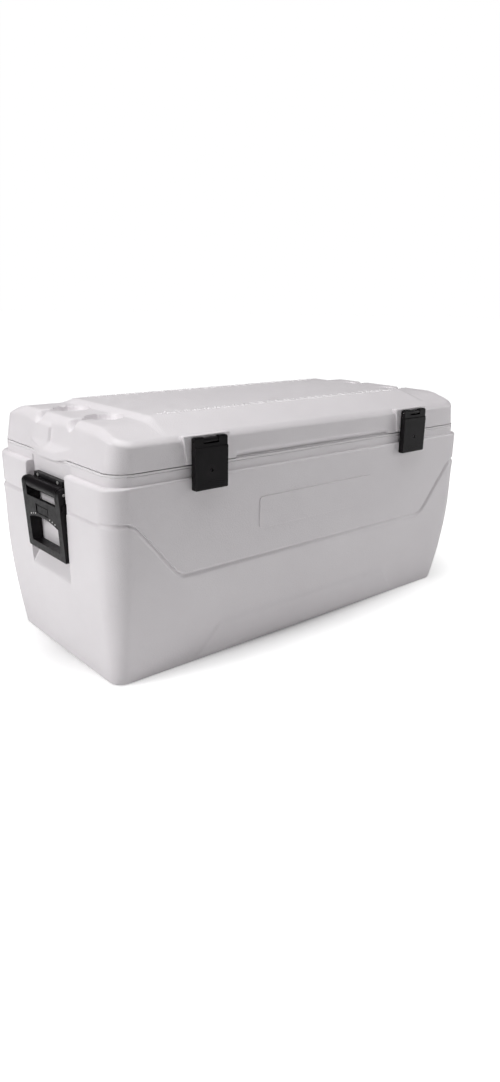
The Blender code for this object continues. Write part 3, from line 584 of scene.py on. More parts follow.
def body_surface():
    """Points of the outer body, rows by columns, with its groove, pads, recesses and drain pocket."""
    edges = ((0.0840, 0.007), (0.0918, 0.00065), (0.100, 0.0027), (BODY_HALF_Y - BODY_CORNER, 0.013))
    end_stops = stops((0.028, 0.0021), *edges)
    bends = ((0.392, 0.003), (0.470, 0.013), (BODY_HALF_X - BODY_CORNER, 0.0033))
    side_stops = stops((0.255, 0.020), (0.325, 0.0048), (0.368, 0.011), *bends)
    share_x, share_y, angle = perimeter(end_stops, side_stops, 14)
    across = np.cos(angle)
    outward = np.sin(angle)
    turned_by = np.abs(np.arcsin(np.clip(np.abs(across), 0.0, 1.0)))
    straight = BODY_HALF_X - BODY_CORNER
    along = np.abs(share_x) * straight + BODY_CORNER * turned_by
    groove = groove_height(along)
    steepness = (groove_height(along + 0.001) - groove_height(along - 0.001)) / 0.002
    slant = np.sqrt(1.0 + steepness**2)
    ledge_round = mix(LEDGE_ROUND_FRONT, LEDGE_ROUND, across**2)

    rows = body_rows(groove, slant, ledge_round)
    z = np.array([row[0] for row in rows])
    share = np.array([row[1] for row in rows])[:, None]
    inset = np.array([row[2] for row in rows])[:, None]
    half_x, half_y, corner = body_outline(z)
    half_x = mix(half_x, COLLAR_HALF_X, share) - inset
    half_y = mix(half_y, COLLAR_HALF_Y, share) - inset
    corner = np.maximum(mix(corner, COLLAR_CORNER, share) - inset, 0.004)
    x = share_x * (half_x - corner) + corner * across
    y = share_y * (half_y - corner) + corner * outward

    on_wall = share == 0.0
    at_end = np.abs(across) > 0.999
    beside = np.abs(y)
    from_groove = (z - groove) / slant
    carved = smooth(GROOVE_TOP, GROOVE_FLOOR, from_groove)
    carved = carved * smooth(GROOVE_BOTTOM, -GROOVE_FLOOR, from_groove)
    clear = np.where(at_end, smooth(GROOVE_END_Y[0], GROOVE_END_Y[1], beside), 1.0)
    roll = smooth(ROLL_Z[0], ROLL_Z[1], from_groove) * smooth(ROLL_Z[3], ROLL_Z[2], from_groove)
    depth = (GROOVE_DEPTH * carved - GROOVE_ROLL * roll) * clear * on_wall

    pad_edge = mix(PAD_HALF_X[0], PAD_HALF_X[1], (z - PAD_Z[0]) / (PAD_Z[1] - PAD_Z[0]))
    pad = smooth(0.0, PAD_SIDE, pad_edge - np.abs(x)) * smooth(PAD_FOOT_Z[0], PAD_FOOT_Z[1], z)
    pad = pad * smooth(PAD_Z[1] + PAD_TOP[0], PAD_Z[1] - PAD_TOP[1], z) * (np.abs(outward) > 0.999)
    depth = depth - PAD_RISE * pad

    outer = np.abs(x) - depth * np.abs(across)
    lean = (BODY_HALF_X - RECESS_X) / (RECESS_FLOOR_Z - RECESS_LIP_Z)
    floor = BODY_HALF_X - (z - RECESS_LIP_Z) * lean
    wanted = soft_min(outer, soft_max(floor, RECESS_X, RECESS_BEND), RECESS_EDGE)
    notch = NOTCH_HALF_Y * smooth(NOTCH_Z[0], NOTCH_Z[0] + NOTCH_SOFT, z)
    notch = notch * smooth(NOTCH_Z[1], NOTCH_Z[1] - NOTCH_SOFT, z)
    inside = smooth(RECESS_HALF_Y[1] + notch, RECESS_HALF_Y[0] + notch, beside)
    inside = inside * smooth(RECESS_TOP_Z[1], RECESS_TOP_Z[0], z) * at_end
    depth = depth + (outer - wanted) * inside

    radius = np.hypot(y, z - DRAIN_Z)
    pocket = smooth(POCKET_R[1], POCKET_R[0], radius) * (across > 0.999)
    depth = depth + (np.abs(x) - DRAIN_FACE) * pocket
    x = x - depth * across
    y = y - depth * outward
    hole = (radius < DRAIN_HOLE_R) & (across > 0.999)
    return np.stack([x, y, z], axis=2), hole


def make_body(look):
    points, hole = body_surface()
    count, columns, _ = points.shape
    hole = hole.reshape(-1)
    faces = [face for face in strip(count, columns) if not any(hole[corner] for corner in face)]
    faces.append(tuple(range(columns))[::-1])
    shell = piece("body_shell", points.reshape(-1, 3).tolist(), faces, look, "body")
    thicken(shell, SHEET)
    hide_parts("outer_shell")

    outline = rounded(PLAQUE_HALF_X, *PLAQUE_Z, PLAQUE_CORNER)
    plate = prism("Y", outline, -BODY_HALF_Y - PLAQUE_RISE, -BODY_HALF_Y + PLAQUE_ROOT)
    plaque = dress("body_plaque", plate, look, "body")
    soften(plaque, 0.0008)

    root = -BODY_HALF_Y + CATCH_ROOT
    front = side_of("outer_shell", 1, 0)
    for name, side in SIDES:
        at = side * STATION_X
        hook = [(root, CATCH_Z[0]), (front + CATCH_SLOPE, CATCH_Z[1]), (front, CATCH_Z[2])]
        hook += [(front, CATCH_Z[3]), (front + CATCH_SLOPE, CATCH_Z[4]), (root, CATCH_Z[4])]
        bar = prism("X", hook, at - CATCH_HALF_X, at + CATCH_HALF_X)
        catch = dress("latch_catch_" + name, bar, look, "body")
        soften(catch, 0.0005)


# Lid


def lid_stops():
    """The lid's grid lines each way, closest at the edges, the cup wells and the steps."""
    edge = (0.0004, 0.0013, 0.0027, 0.0045, 0.0067, 0.0092, 0.0120, 0.0150, 0.0185)
    half_x = stops((0.222, 0.024), (0.243, 0.0026), (0.372, 0.016), (0.391, 0.0032), (0.469, 0.0017))
    half_x += [*np.linspace(0.475, LID_HALF_X - edge[-1] - 0.005, 5)]
    half_x += [LID_HALF_X - inset for inset in edge[::-1]] + [LID_HALF_X]
    half_y = stops((0.029, 0.0032), (0.107, 0.0017), (0.150, 0.007), (0.174, 0.0024))
    half_y += [*np.linspace(0.180, LID_HALF_Y - edge[-1] - 0.005, 7)]
    half_y += [LID_HALF_Y - inset for inset in edge[::-1]] + [LID_HALF_Y]
    return both_ways(half_x), both_ways(half_y)


def into_corner(x, y):
    """Moves a rectangle's points so that its corners become round ones."""
    straight_x = LID_HALF_X - LID_CORNER
    straight_y = LID_HALF_Y - LID_CORNER
    u = np.maximum(np.abs(x) - straight_x, 0.0) / LID_CORNER
    v = np.maximum(np.abs(y) - straight_y, 0.0) / LID_CORNER
    inside = (u > 0.0) & (v > 0.0)
    round_x = np.sign(x) * (straight_x + LID_CORNER * u * np.sqrt(1.0 - v * v / 2.0))
    round_y = np.sign(y) * (straight_y + LID_CORNER * v * np.sqrt(1.0 - u * u / 2.0))
    return np.where(inside, round_x, x), np.where(inside, round_y, y)


def from_edge(x, y):
    """Distance in from the lid's outline, and how far its nearest wall faces an end, from 0 to 1."""
    u = np.abs(x) - (LID_HALF_X - LID_CORNER)
    v = np.abs(y) - (LID_HALF_Y - LID_CORNER)
    out_u = np.maximum(u, 0.0)
    out_v = np.maximum(v, 0.0)
    reach = np.hypot(out_u, out_v)
    inset = LID_CORNER - reach - np.minimum(np.maximum(u, v), 0.0)
    endwards = np.where(reach > 0.0, out_u**2 / np.maximum(reach, 1e-9) ** 2, (u > v) * 1.0)
    return inset, endwards


def slope(y, top, half_y, blend):
    """A flat top that falls from half_y towards the shoulder."""
    fall = (top - SLOPE_FOOT[1]) / (SLOPE_FOOT[0] - half_y)
    return soft_min(top + 0.0 * y, top - (np.abs(y) - half_y) * fall, blend)


def lid_height(x, y):
    """The lid's upper surface over its plan."""
    beside = np.abs(x)
    panel = slope(y, PANEL_Z, PANEL_HALF_Y, PANEL_BEND)
    end = slope(y, PLATEAU_Z, PLATEAU_HALF_Y, PLATEAU_BEND)
    crest = RISER_X[0] + RISER_SWEEP * smooth(RISER_SWEEP_Y[0], RISER_SWEEP_Y[1], np.abs(y))
    share = np.clip((RISER_X[1] - beside) / (RISER_X[1] - crest), 0.0, 1.0)
    share = mix(share, smooth(0.0, 1.0, share), RISER_EASE)
    height = mix(end, panel, share)
    from_cup = np.hypot(beside - CUP_AT[0], np.abs(y) - CUP_AT[1])
    height = height - (height - CUP_Z) * smooth(CUP_R[1], CUP_R[0], from_cup)
    fall = smooth(CUP_AT[0] + 0.5 * CUP_R[0], LID_HALF_X - 0.010, beside)
    aside = soft_max(np.abs(np.abs(y) - CUP_AT[1]) - CHANNEL_HALF_Y, 0.0, CHANNEL_BEND)
    channel = mix(CHANNEL_Z[0], CHANNEL_Z[1], fall) + aside * CHANNEL_SLOPE
    channel = np.where(beside > CUP_AT[0] + 0.75 * CUP_R[0], channel, PANEL_Z + 0.1)
    height = soft_min(height, channel, CHANNEL_EDGE)
    inset, endwards = from_edge(x, y)
    width = mix(EDGE_WIDTH[0], EDGE_WIDTH[1], endwards)
    wall_top = mix(EDGE_Z[0], EDGE_Z[1], endwards)
    share = np.clip(inset / width, 0.0, 1.0)
    rounding = np.sqrt(np.maximum(0.0, 1.0 - (1.0 - share) ** 2))
    return mix(wall_top, height, mix(rounding, share, EDGE_CREASE))


def end_step(y, z):
    """How far the end stands out beyond its step, which runs down into a scoop above the lip."""
    scoop = SCOOP_WIDTH * smooth(SCOOP_Z[1], SCOOP_Z[0], z)
    beyond = smooth(STEP_Y[0], STEP_Y[0] + STEP_SHARP + scoop, y) * smooth(STEP_Y[2], STEP_Y[1], y)
    return STEP_RISE * beyond * smooth(STEP_Z[0], STEP_Z[1], z) * smooth(STEP_Z[3], STEP_Z[2], z)


WALL_SHARES = (0.04, 0.10, 0.17, 0.24, 0.31, 0.38, 0.45, 0.51, 0.57, 0.62, 0.67)
WALL_SHARES += (0.71, 0.75, 0.79, 0.82, 0.85, 0.88, 0.91, 0.94, 0.97, 0.99, 1.0)


def lid_wall(x, y):
    """Rows of points from the lid's upper outline down to its bottom edge, and in to the liner."""
    u = np.abs(x) - (LID_HALF_X - LID_CORNER)
    v = np.abs(y) - (LID_HALF_Y - LID_CORNER)
    across = np.sign(x) * np.maximum(u, 0.0)
    outward = np.sign(y) * np.maximum(v, 0.0)
    size = np.maximum(np.hypot(across, outward), 1e-9)
    across = across / size
    outward = outward / size
    endwards = across**2
    at_end = endwards > 0.999
    top = mix(EDGE_Z[0], EDGE_Z[1], endwards)
    lip = np.clip((LIP_HALF_Y[1] - np.abs(y)) / (LIP_HALF_Y[1] - LIP_HALF_Y[0]), 0.0, 1.3) * at_end
    bottom = SEAM_Z + SEAM_GAP - (LIP_DIP + SEAM_GAP) * smooth(0.2, 0.9, lip)
    finger = smooth(FINGER_HALF_X[1], FINGER_HALF_X[0], np.abs(x)) * (outward < -0.999)
    rows = []
    for share in WALL_SHARES:
        z = mix(top, bottom, share)
        out = END_LEAN * endwards * (EDGE_Z[1] - z) / (EDGE_Z[1] - SEAM_Z)
        flare = smooth(LIP_Z[1], LIP_Z[0], z)
        out = out + LIP_RISE * np.maximum(0.0, soft_min(flare, lip, LIP_BEND))
        out = out + at_end * end_step(y, z)
        out = out - FINGER_DEPTH * finger * smooth(FINGER_Z[1], FINGER_Z[0], z)
        out = out - SEAM_ROUND * smooth(0.97, 1.0, share)
        rows.append(np.stack([x + out * across, y + out * outward, z], axis=-1))
    out = END_LEAN * endwards - FLANGE_INSET
    inner_z = np.full_like(x, SEAM_Z + SEAM_GAP)
    rows.append(np.stack([x + out * across, y + out * outward, inner_z], axis=-1))
    return rows


def make_lid(look):
    stops_x, stops_y = lid_stops()
    grid_x, grid_y = np.meshgrid(stops_x, stops_y, indexing="ij")
    x, y = into_corner(grid_x, grid_y)
    z = lid_height(x, y)
    stepped = x + np.sign(x) * end_step(y, z) * (np.abs(x) > LID_HALF_X - EDGE_WIDTH[1])
    top = np.stack([stepped, y, z], axis=2)
    count_x, count_y = x.shape
    number = np.arange(count_x * count_y).reshape(count_x, count_y)
    quads = [number[:-1, :-1], number[1:, :-1], number[1:, 1:], number[:-1, 1:]]
    faces = np.stack(quads, axis=2).reshape(-1, 4).tolist()
    loop = np.concatenate([number[-1, :-1], number[::-1, -1][:-1], number[0, ::-1][:-1], number[:-1, 0]])
    points = top.reshape(-1, 3)
    rows = lid_wall(x.reshape(-1)[loop], y.reshape(-1)[loop])
    columns = len(loop)
    first = len(points)
    for column in range(columns):
        after = (column + 1) % columns
        faces.append((first + column, first + after, int(loop[after]), int(loop[column])))
    faces += [face[::-1] for face in strip(len(rows), columns, first)]
    points = np.concatenate([points, *rows])
    shell = piece("lid_shell_moulding", points.tolist(), faces, look, "lid")
    thicken(shell, SHEET)
    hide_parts("lid_shell")

    face = side_of("latch_base_right", 1, 1) + GAP
    for name, side in SIDES:
        at = side * STATION_X
        outline = [(at - BOSS_HALF_X[0], BOSS_Z[0]), (at + BOSS_HALF_X[0], BOSS_Z[0])]
        outline += [(at + BOSS_HALF_X[1], BOSS_Z[1]), (at - BOSS_HALF_X[1], BOSS_Z[1])]
        boss = dress("latch_boss_" + name, prism("Y", outline, face, BOSS_BACK_Y), look, "lid")
        soften(boss, 0.0022, 3)


def make_lid_foam(look):
    """The lid's insulation, drawn in from the moulded skin that the CAD block fits less closely."""
    source = NODES["lid_foam"].data
    floor = side_of("lid_foam", 2, 0)
    core = dress("lid_foam_core", source.copy(), look, "lid")
    for vertex in core.data.vertices:
        x, y, z = vertex.co
        vertex.co = (x * FOAM_SHARE[0], y * FOAM_SHARE[1], floor + (z - floor) * FOAM_SHARE[2])
    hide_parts("lid_foam")


def digit_mesh(text, size, height):
    """Raised figures, standing on z = 0."""
    curve = bpy.data.curves.new("figures", "FONT")
    curve.body = text
    curve.size = size
    curve.extrude = height / 2
    curve.resolution_u = 3
    curve.align_x = "CENTER"
    curve.align_y = "CENTER"
    obj = bpy.data.objects.new("figures", curve)
    bpy.context.scene.collection.objects.link(obj)
    graph = bpy.context.evaluated_depsgraph_get()
    mesh = bpy.data.meshes.new_from_object(obj.evaluated_get(graph))
    bpy.data.objects.remove(obj, do_unlink=True)
    return mesh


INCH = 0.0254
RULER_INCHES = 28
RULER_START = -RULER_INCHES / 2 * INCH
RULER_Y = 0.1525
TICKS = ((0.0105, 0.0007), (0.0038, 0.00045), (0.0065, 0.00045), (0.0038, 0.00045))
FIGURE_SIZE = 0.0125
FIGURE_AT = 0.0175
MARK_RISE = 0.0011
MARK_ROOT = 0.0004


def make_rulers(look):
    """Two moulded measuring scales in quarter inches, one along each long edge of the centre panel."""
    for name, edge, inwards in (("front", -RULER_Y, 1), ("rear", RULER_Y, -1)):
        marks = []
        for quarter in range(4 * RULER_INCHES + 1):
            at = RULER_START + quarter * INCH / 4
            length, half = TICKS[quarter % 4]
            ends = sorted((edge, edge + inwards * length))
            low = (at - half, ends[0], PANEL_Z - MARK_ROOT)
            marks.append(block(low, (at + half, ends[1], PANEL_Z + MARK_RISE)))
        for inch in range(1, RULER_INCHES):
            figures = digit_mesh(str(inch), FIGURE_SIZE, MARK_RISE + MARK_ROOT)
            middle_z = PANEL_Z + (MARK_RISE - MARK_ROOT) / 2
            middle = (RULER_START + inch * INCH, edge + inwards * FIGURE_AT, middle_z)
            figures.transform(Matrix.Translation(middle))
            marks.append(figures)
        dress("ruler_" + name, joined(marks), look, "lid", 30.0)


# Latches

LEVER_WALL = 0.003
LEVER_ROUND = 0.0030
LEVER_CORNER = 0.0032
BAND_DROP = 0.0115
BAND_STEP = 0.0022
CHAMFER = (0.0045, 0.0035)
KNUCKLE_HALF = 0.0185
PIN_R = 0.0019
PADLOCK_Z = 0.431
PADLOCK_R = 0.0028
RIBS_Z = (0.3985, 0.4025, 0.4065, 0.4105)
RIB_BOW = 0.22
RIB_ANGLE = 8.0
RIB_WIDTH = 0.0010
RIB_RISE = 0.00045


def make_latch(name, side, black):
    """One lever: a hollow cover with a stepped band round its knuckle, a padlock hole and bowed ribs."""
    at = side * STATION_X
    low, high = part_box("latch_lever_" + name)
    pin_y = (side_of("latch_pin_" + name, 1, 0) + side_of("latch_pin_" + name, 1, 1)) / 2
    pin_z = (side_of("latch_pin_" + name, 2, 0) + side_of("latch_pin_" + name, 2, 1)) / 2
    front, back, bottom, top = low.y, high.y, low.z, high.z
    half = (high.x - low.x) / 2
    band_z = pin_z - BAND_DROP
    band_y = front + BAND_STEP
    profile = [(back, bottom), (front + LEVER_ROUND, bottom)]
    profile += arc((front + LEVER_ROUND, bottom + LEVER_ROUND), LEVER_ROUND, 270, 180, 3)[1:]
    profile += [(front, band_z - BAND_STEP), (band_y, band_z), (band_y, top - CHAMFER[1])]
    profile += [(front + CHAMFER[0], top), (pin_y + 0.003, top), (back, top - 0.0025)]
    body = prism("X", profile, at - half, at + half)

    behind = back + 0.012
    before = front - 0.01
    face = [(at + u, v) for u, v in rounded(half, bottom, top, LEVER_CORNER, 4)]
    inner = half - LEVER_WALL
    low_corner = (at - inner, front + LEVER_WALL, bottom + 2 * LEVER_WALL)
    cavity = block(low_corner, (at + inner, behind, pin_z - 0.0095))
    notch = block((at - KNUCKLE_HALF, before, pin_z - 0.0062), (at + KNUCKLE_HALF, behind, pin_z + 0.02))
    low_corner = (at - KNUCKLE_HALF, front + 0.0042, pin_z - 0.0135)
    room = block(low_corner, (at + KNUCKLE_HALF, behind, pin_z))
    bore = rod("X", (pin_y, pin_z), PIN_R, at - half - 0.01, at + half + 0.01, 16)
    hole = rod("Y", (at, PADLOCK_Z), PADLOCK_R, before, behind, 20)
    sink = stacked("Y", (at, PADLOCK_Z), [(0.0046, front - 0.0003), (0.0027, front + 0.0015)], 20)
    ribs = []
    for z in RIBS_Z:
        centre = (at, z - RIB_BOW)
        upper = arc(centre, RIB_BOW, 90 + RIB_ANGLE, 90 - RIB_ANGLE, 8)
        lower = arc(centre, RIB_BOW - RIB_WIDTH, 90 - RIB_ANGLE, 90 + RIB_ANGLE, 8)
        ribs.append(("UNION", prism("Y", upper + lower, front - RIB_RISE, front + 0.001)))
    steps = [("INTERSECT", prism("Y", face, before, behind)), ("DIFFERENCE", cavity), ("DIFFERENCE", notch)]
    steps += [("DIFFERENCE", room), ("DIFFERENCE", bore), *ribs, ("DIFFERENCE", sink), ("DIFFERENCE", hole)]
    lever = dress("latch_cover_" + name, carve(body, *steps), black, "latch_" + name, 25.0)
    soften(lever, 0.0006)
    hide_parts("latch_lever_" + name)


# Handles

BARREL = (0.538, 0.3765)
BARREL_R = 0.0125
BAIL_LEAN = 0.0075
BAIL_BACK_X = 0.5215
BAIL_BOTTOM_Z = 0.232
BAIL_HALF = 0.084
BAIL_SPAN = (0.509, 0.5605)
BAIL_WALL = 0.005
WINDOW_HALF = 0.065
SLOT_Z = (0.350, 0.4015)
SILL_Z = 0.250
SILL_CORNER = 0.006
ARCH_TOP_Z = 0.312
ARCH_RISE = 0.010
ARCH_R = (WINDOW_HALF**2 + ARCH_RISE**2) / (2 * ARCH_RISE)
SUNK_PANEL = (0.0285, 0.3180, 0.3385, 0.002)
RAISED_PLATE = (0.0235, 0.3220, 0.3345, 0.001)
RING_Y = 0.0715
RING_HALF = 0.0008
RING_DEPTH = 0.0010
HINGE_R = 0.0035
STUD_SHARES = (0.50, 0.67, 0.84)
STUD = ((0.0016, -0.0010), (0.0016, 0.0003), (0.0012, 0.0008), (0.0005, 0.0010))
STUD_OVER_ARCH = 0.0060
BRACKET_HALF = 0.0642
BRACKET_X = (0.5193, 0.5223, 0.5305)
BRACKET_Z = (0.362, 0.3895, 0.3985)
BRACKET_GROOVE_Z = (0.3715, 0.3728)
SCREW_AT = (0.045, 0.3935)
SCREW_BORE = 0.0023
SCREW_HEAD = ((0.0038, 0.0), (0.0038, 0.0008), (0.0033, 0.0014), (0.0022, 0.0018), (0.0008, 0.0019))
SCREW_SLOT = (0.0024, 0.0004)


def flipped(outline, side):
    return [(side * x, z) for x, z in outline]


def bail_front(z):
    """The bail's front, which leans in towards its lower edge."""
    return BARREL[0] + BARREL_R - BAIL_LEAN * (BARREL[1] - z) / (BARREL[1] - BAIL_BOTTOM_Z)


def bail_details(side):
    """The bail's lugs, slot, arched hand opening, hollow back, pin bore, front panel and rings."""
    across = sorted(side * x for x in BAIL_SPAN)
    steps = []
    for end in (-1, 1):
        lug = [(side * 0.5400 + u, v) for u, v in rounded(0.0045, 0.343, 0.357, 0.0030, 4)]
        span = sorted((end * (BAIL_HALF - 0.001), end * (BAIL_HALF + 0.003)))
        steps.append(("UNION", prism("Y", lug, *span)))
    slot = block((across[0], -WINDOW_HALF, SLOT_Z[0]), (across[1], WINDOW_HALF, SLOT_Z[1]))
    angle = math.degrees(math.asin(WINDOW_HALF / ARCH_R))
    arch = arc((0.0, ARCH_TOP_Z - ARCH_R), ARCH_R, 90 - angle, 90 + angle, 14)
    corner = (WINDOW_HALF - SILL_CORNER, SILL_Z + SILL_CORNER)
    sill = arc((-corner[0], corner[1]), SILL_CORNER, 180, 270, 4) + arc(corner, SILL_CORNER, 270, 360, 4)
    thin = sorted((side * (BAIL_BACK_X - 0.01), side * (bail_front(0.3) - BAIL_WALL)))
    hollow = block((thin[0], -WINDOW_HALF, 0.282), (thin[1], WINDOW_HALF, 0.360))
    bore = rod("Y", (side * BARREL[0], BARREL[1]), HINGE_R, -0.1, 0.1, 18)
    steps += [("DIFFERENCE", shape) for shape in (slot, prism("X", sill + arch, *across), hollow, bore)]

    face = bail_front(0.329)
    sunk = sorted((side * (face - 0.0020), side * (face + 0.01)))
    raised = sorted((side * (face - 0.003), side * (face - 0.0010)))
    steps.append(("DIFFERENCE", prism("X", rounded(*SUNK_PANEL, 3), *sunk)))
    steps.append(("UNION", prism("X", rounded(*RAISED_PLATE, 3), *raised)))
    ring = [(0.5545, 0.3580), (0.5545, 0.395), (0.520, 0.395), (0.520, 0.3882)]
    ring += arc(BARREL, BARREL_R - RING_DEPTH, 110, -20, 12) + [(bail_front(0.358) - RING_DEPTH, 0.3580)]
    for y in (-RING_Y, RING_Y):
        steps.append(("DIFFERENCE", prism("Y", flipped(ring, side), y - RING_HALF, y + RING_HALF)))
    return steps


def make_bail(name, side, black):
    """The swinging grip, with its barrel round the pin."""
    profile = arc((bail_front(BAIL_BOTTOM_Z) - 0.005, BAIL_BOTTOM_Z + 0.005), 0.005, 280, 360, 3)
    profile += arc(BARREL, BARREL_R, 0, 180, 16)
    profile += [(BAIL_BACK_X, 0.368), (BAIL_BACK_X, BAIL_BOTTOM_Z + 0.004)]
    profile += [(BAIL_BACK_X + 0.004, BAIL_BOTTOM_Z)]
    body = prism("Y", flipped(profile, side), -BAIL_HALF, BAIL_HALF)
    outline = rounded(BAIL_HALF, BAIL_BOTTOM_Z, BARREL[1] + BARREL_R, 0.0075, 6)
    face = prism("X", outline, *sorted(side * x for x in BAIL_SPAN))
    made = carve(body, ("INTERSECT", face), *bail_details(side))
    bail = dress("handle_grip_" + name, made, black, "handle_" + name, 25.0)
    soften(bail, 0.0007)
    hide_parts("handle_bail_" + name)


def make_studs(name, side, steel):
    """Six small domes that follow the arch of the hand opening."""
    studs = []
    for end in (-1, 1):
        for share in STUD_SHARES:
            y = end * WINDOW_HALF * share
            z = ARCH_TOP_Z - ARCH_R + math.sqrt(ARCH_R**2 - y * y) + STUD_OVER_ARCH
            dome = [(radius, side * (bail_front(z) + out)) for radius, out in STUD]
            studs.append(stacked("X", (y, z), dome, 14))
    dress("handle_studs_" + name, joined(studs), steel, "handle_" + name, 60.0)


def make_bracket(name, side, black):
    """The fixed plate behind the bail, curled round the barrel, with its two screw holes."""
    plate = [(BRACKET_X[0], BRACKET_Z[0]), (BRACKET_X[1], BRACKET_Z[0])]
    plate += arc(BARREL, BARREL_R, -100, 110, 24)
    plate += [(BRACKET_X[2], BRACKET_Z[1]), (BRACKET_X[2], BRACKET_Z[2]), (BRACKET_X[0], BRACKET_Z[2])]
    bracket = prism("Y", flipped(plate, side), -BRACKET_HALF, BRACKET_HALF)
    steps = [("DIFFERENCE", rod("Y", (side * BARREL[0], BARREL[1]), HINGE_R, -0.1, 0.1, 18))]
    groove = sorted((side * 0.5500, side * BAIL_SPAN[1]))
    cut = block((groove[0], -0.1, BRACKET_GROOVE_Z[0]), (groove[1], 0.1, BRACKET_GROOVE_Z[1]))
    steps.append(("DIFFERENCE", cut))
    for y in (-SCREW_AT[0], SCREW_AT[0]):
        bore = rod("X", (y, SCREW_AT[1]), SCREW_BORE, *sorted(side * x for x in BAIL_SPAN), 14)
        steps.append(("DIFFERENCE", bore))
    made = dress("handle_mount_" + name, carve(bracket, *steps), black, "body", 25.0)
    soften(made, 0.0005)
    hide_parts("handle_bracket_" + name)


def make_bracket_screws(name, side, steel):
    """Pan heads with a cross slot, each on the shank of its CAD screw."""
    seat = side * (BRACKET_X[2] + GAP)
    deep = sorted((seat + side * 0.0008, seat + side * 0.004))
    for number, y in enumerate((-SCREW_AT[0], SCREW_AT[0]), 1):
        node = f"handle_screw_{name}_{number}"
        low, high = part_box(node)
        tip = low.x if side > 0 else high.x
        profile = [(0.0006, tip), (0.0019, tip + side * 0.002), (0.0019, seat)]
        profile += [(radius, seat + side * out) for radius, out in SCREW_HEAD]
        slots = []
        for wide, tall in (SCREW_SLOT, SCREW_SLOT[::-1]):
            low_corner = (deep[0], y - wide, SCREW_AT[1] - tall)
            slots.append(("DIFFERENCE", block(low_corner, (deep[1], y + wide, SCREW_AT[1] + tall))))
        made = carve(stacked("X", (y, SCREW_AT[1]), profile, 20), *slots)
        screw = dress(f"handle_screw_head_{name}_{number}", made, steel, "body", 25.0)
        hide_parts(node)


def make_handle(name, side, black, steel):
    make_bail(name, side, black)
    make_studs(name, side, steel)
    make_bracket(name, side, black)
    make_bracket_screws(name, side, steel)


# Drain cap

CAP_TEETH = 20
TOOTH_DEPTH = 0.0009
TOOTH = ((0.0, 0.0), (0.5, 0.0), (0.65, TOOTH_DEPTH), (0.85, TOOTH_DEPTH))
CAP_GRIP = (0.0125, 0.0025)
CAP_BORE_R = 0.0118


def make_drain_cap(look):
    """A knurled screw cap with a raised rim and a bar to turn it by."""
    low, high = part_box("drain_cap")
    radius = (high.y - low.y) / 2
    outline = []
    for tooth in range(CAP_TEETH):
        for offset, depth in TOOTH:
            turn = 2 * math.pi * (tooth + offset) / CAP_TEETH
            reach = radius - depth
            outline.append((reach * math.cos(turn), DRAIN_Z + reach * math.sin(turn)))
    face = high.x - 0.004
    axis = (0.0, DRAIN_Z)
    cap = prism("X", outline, low.x, face)
    space = rod("X", axis, CAP_BORE_R, low.x - 0.01, face - 0.003, 32)
    grip = [(u, DRAIN_Z + v) for u, v in rounded(CAP_GRIP[0], -CAP_GRIP[1], CAP_GRIP[1], 0.0022, 4)]
    rim = stacked("X", axis, [(radius - 0.0022, face - 0.001), (radius - 0.0032, face + 0.0006)], 32)
    steps = [("UNION", rim), ("UNION", prism("X", grip, face - 0.001, high.x)), ("DIFFERENCE", space)]
    made = dress("drain_cap_knurled", carve(cap, *steps), look, "drain_cap", 25.0)
    soften(made, 0.0004)
    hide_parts("drain_cap")


# The frame's own parts


def finish_nodes(looks):
    """Gives each CAD part that stays its finish, and rounds the edges of the moulded ones."""
    for name, obj in NODES.items():
        if "foam" in name:
            look = looks["foam"]
        elif "liner" in name:
            look = looks["liner"]
        elif "gasket" in name:
            look = looks["rubber"]
        elif "pin" in name or "screw" in name:
            look = looks["steel"]
        elif "hinge" in name or "drain" in name:
            look = looks["fittings"]
        elif "latch" in name or "handle" in name:
            look = looks["black"]
        else:
            look = looks["shell"]
        obj.data.materials.clear()
        obj.data.materials.append(look.material)
        if "hinge" in name and "leaf" in name or "latch_base" in name:
            soften(obj, 0.0005)


# Stage


def glowing(name, colour, glow):
    made = bpy.data.materials.new(name)
    made.use_nodes = True
    shader = made.node_tree.nodes["Principled BSDF"]
    shader.inputs["Base Color"].default_value = (*colour, 1.0)
    shader.inputs["Roughness"].default_value = 0.9
    shader.inputs["Emission Color"].default_value = (1.0, 1.0, 1.0, 1.0)
    shader.inputs["Emission Strength"].default_value = glow
    return made, shader


FLOOR_HALF = 30.0
BACKDROP_R = 28.0
FLOOR_SPAN = 6.0
FLOOR_SQUEEZE = 0.42
# Floor glow by distance, squeezed to the cooler's footprint: kept low close in, which paints shade round the
# base, and rising out to the backdrop's brightness
FLOOR_GLOW_AND_BASE_SHADE = ((0.20, 0.03), (0.25, 0.30), (0.36, 0.66), (1.0, 0.92), (3.0, 1.0))
FLOOR_BOUNCE = 0.16


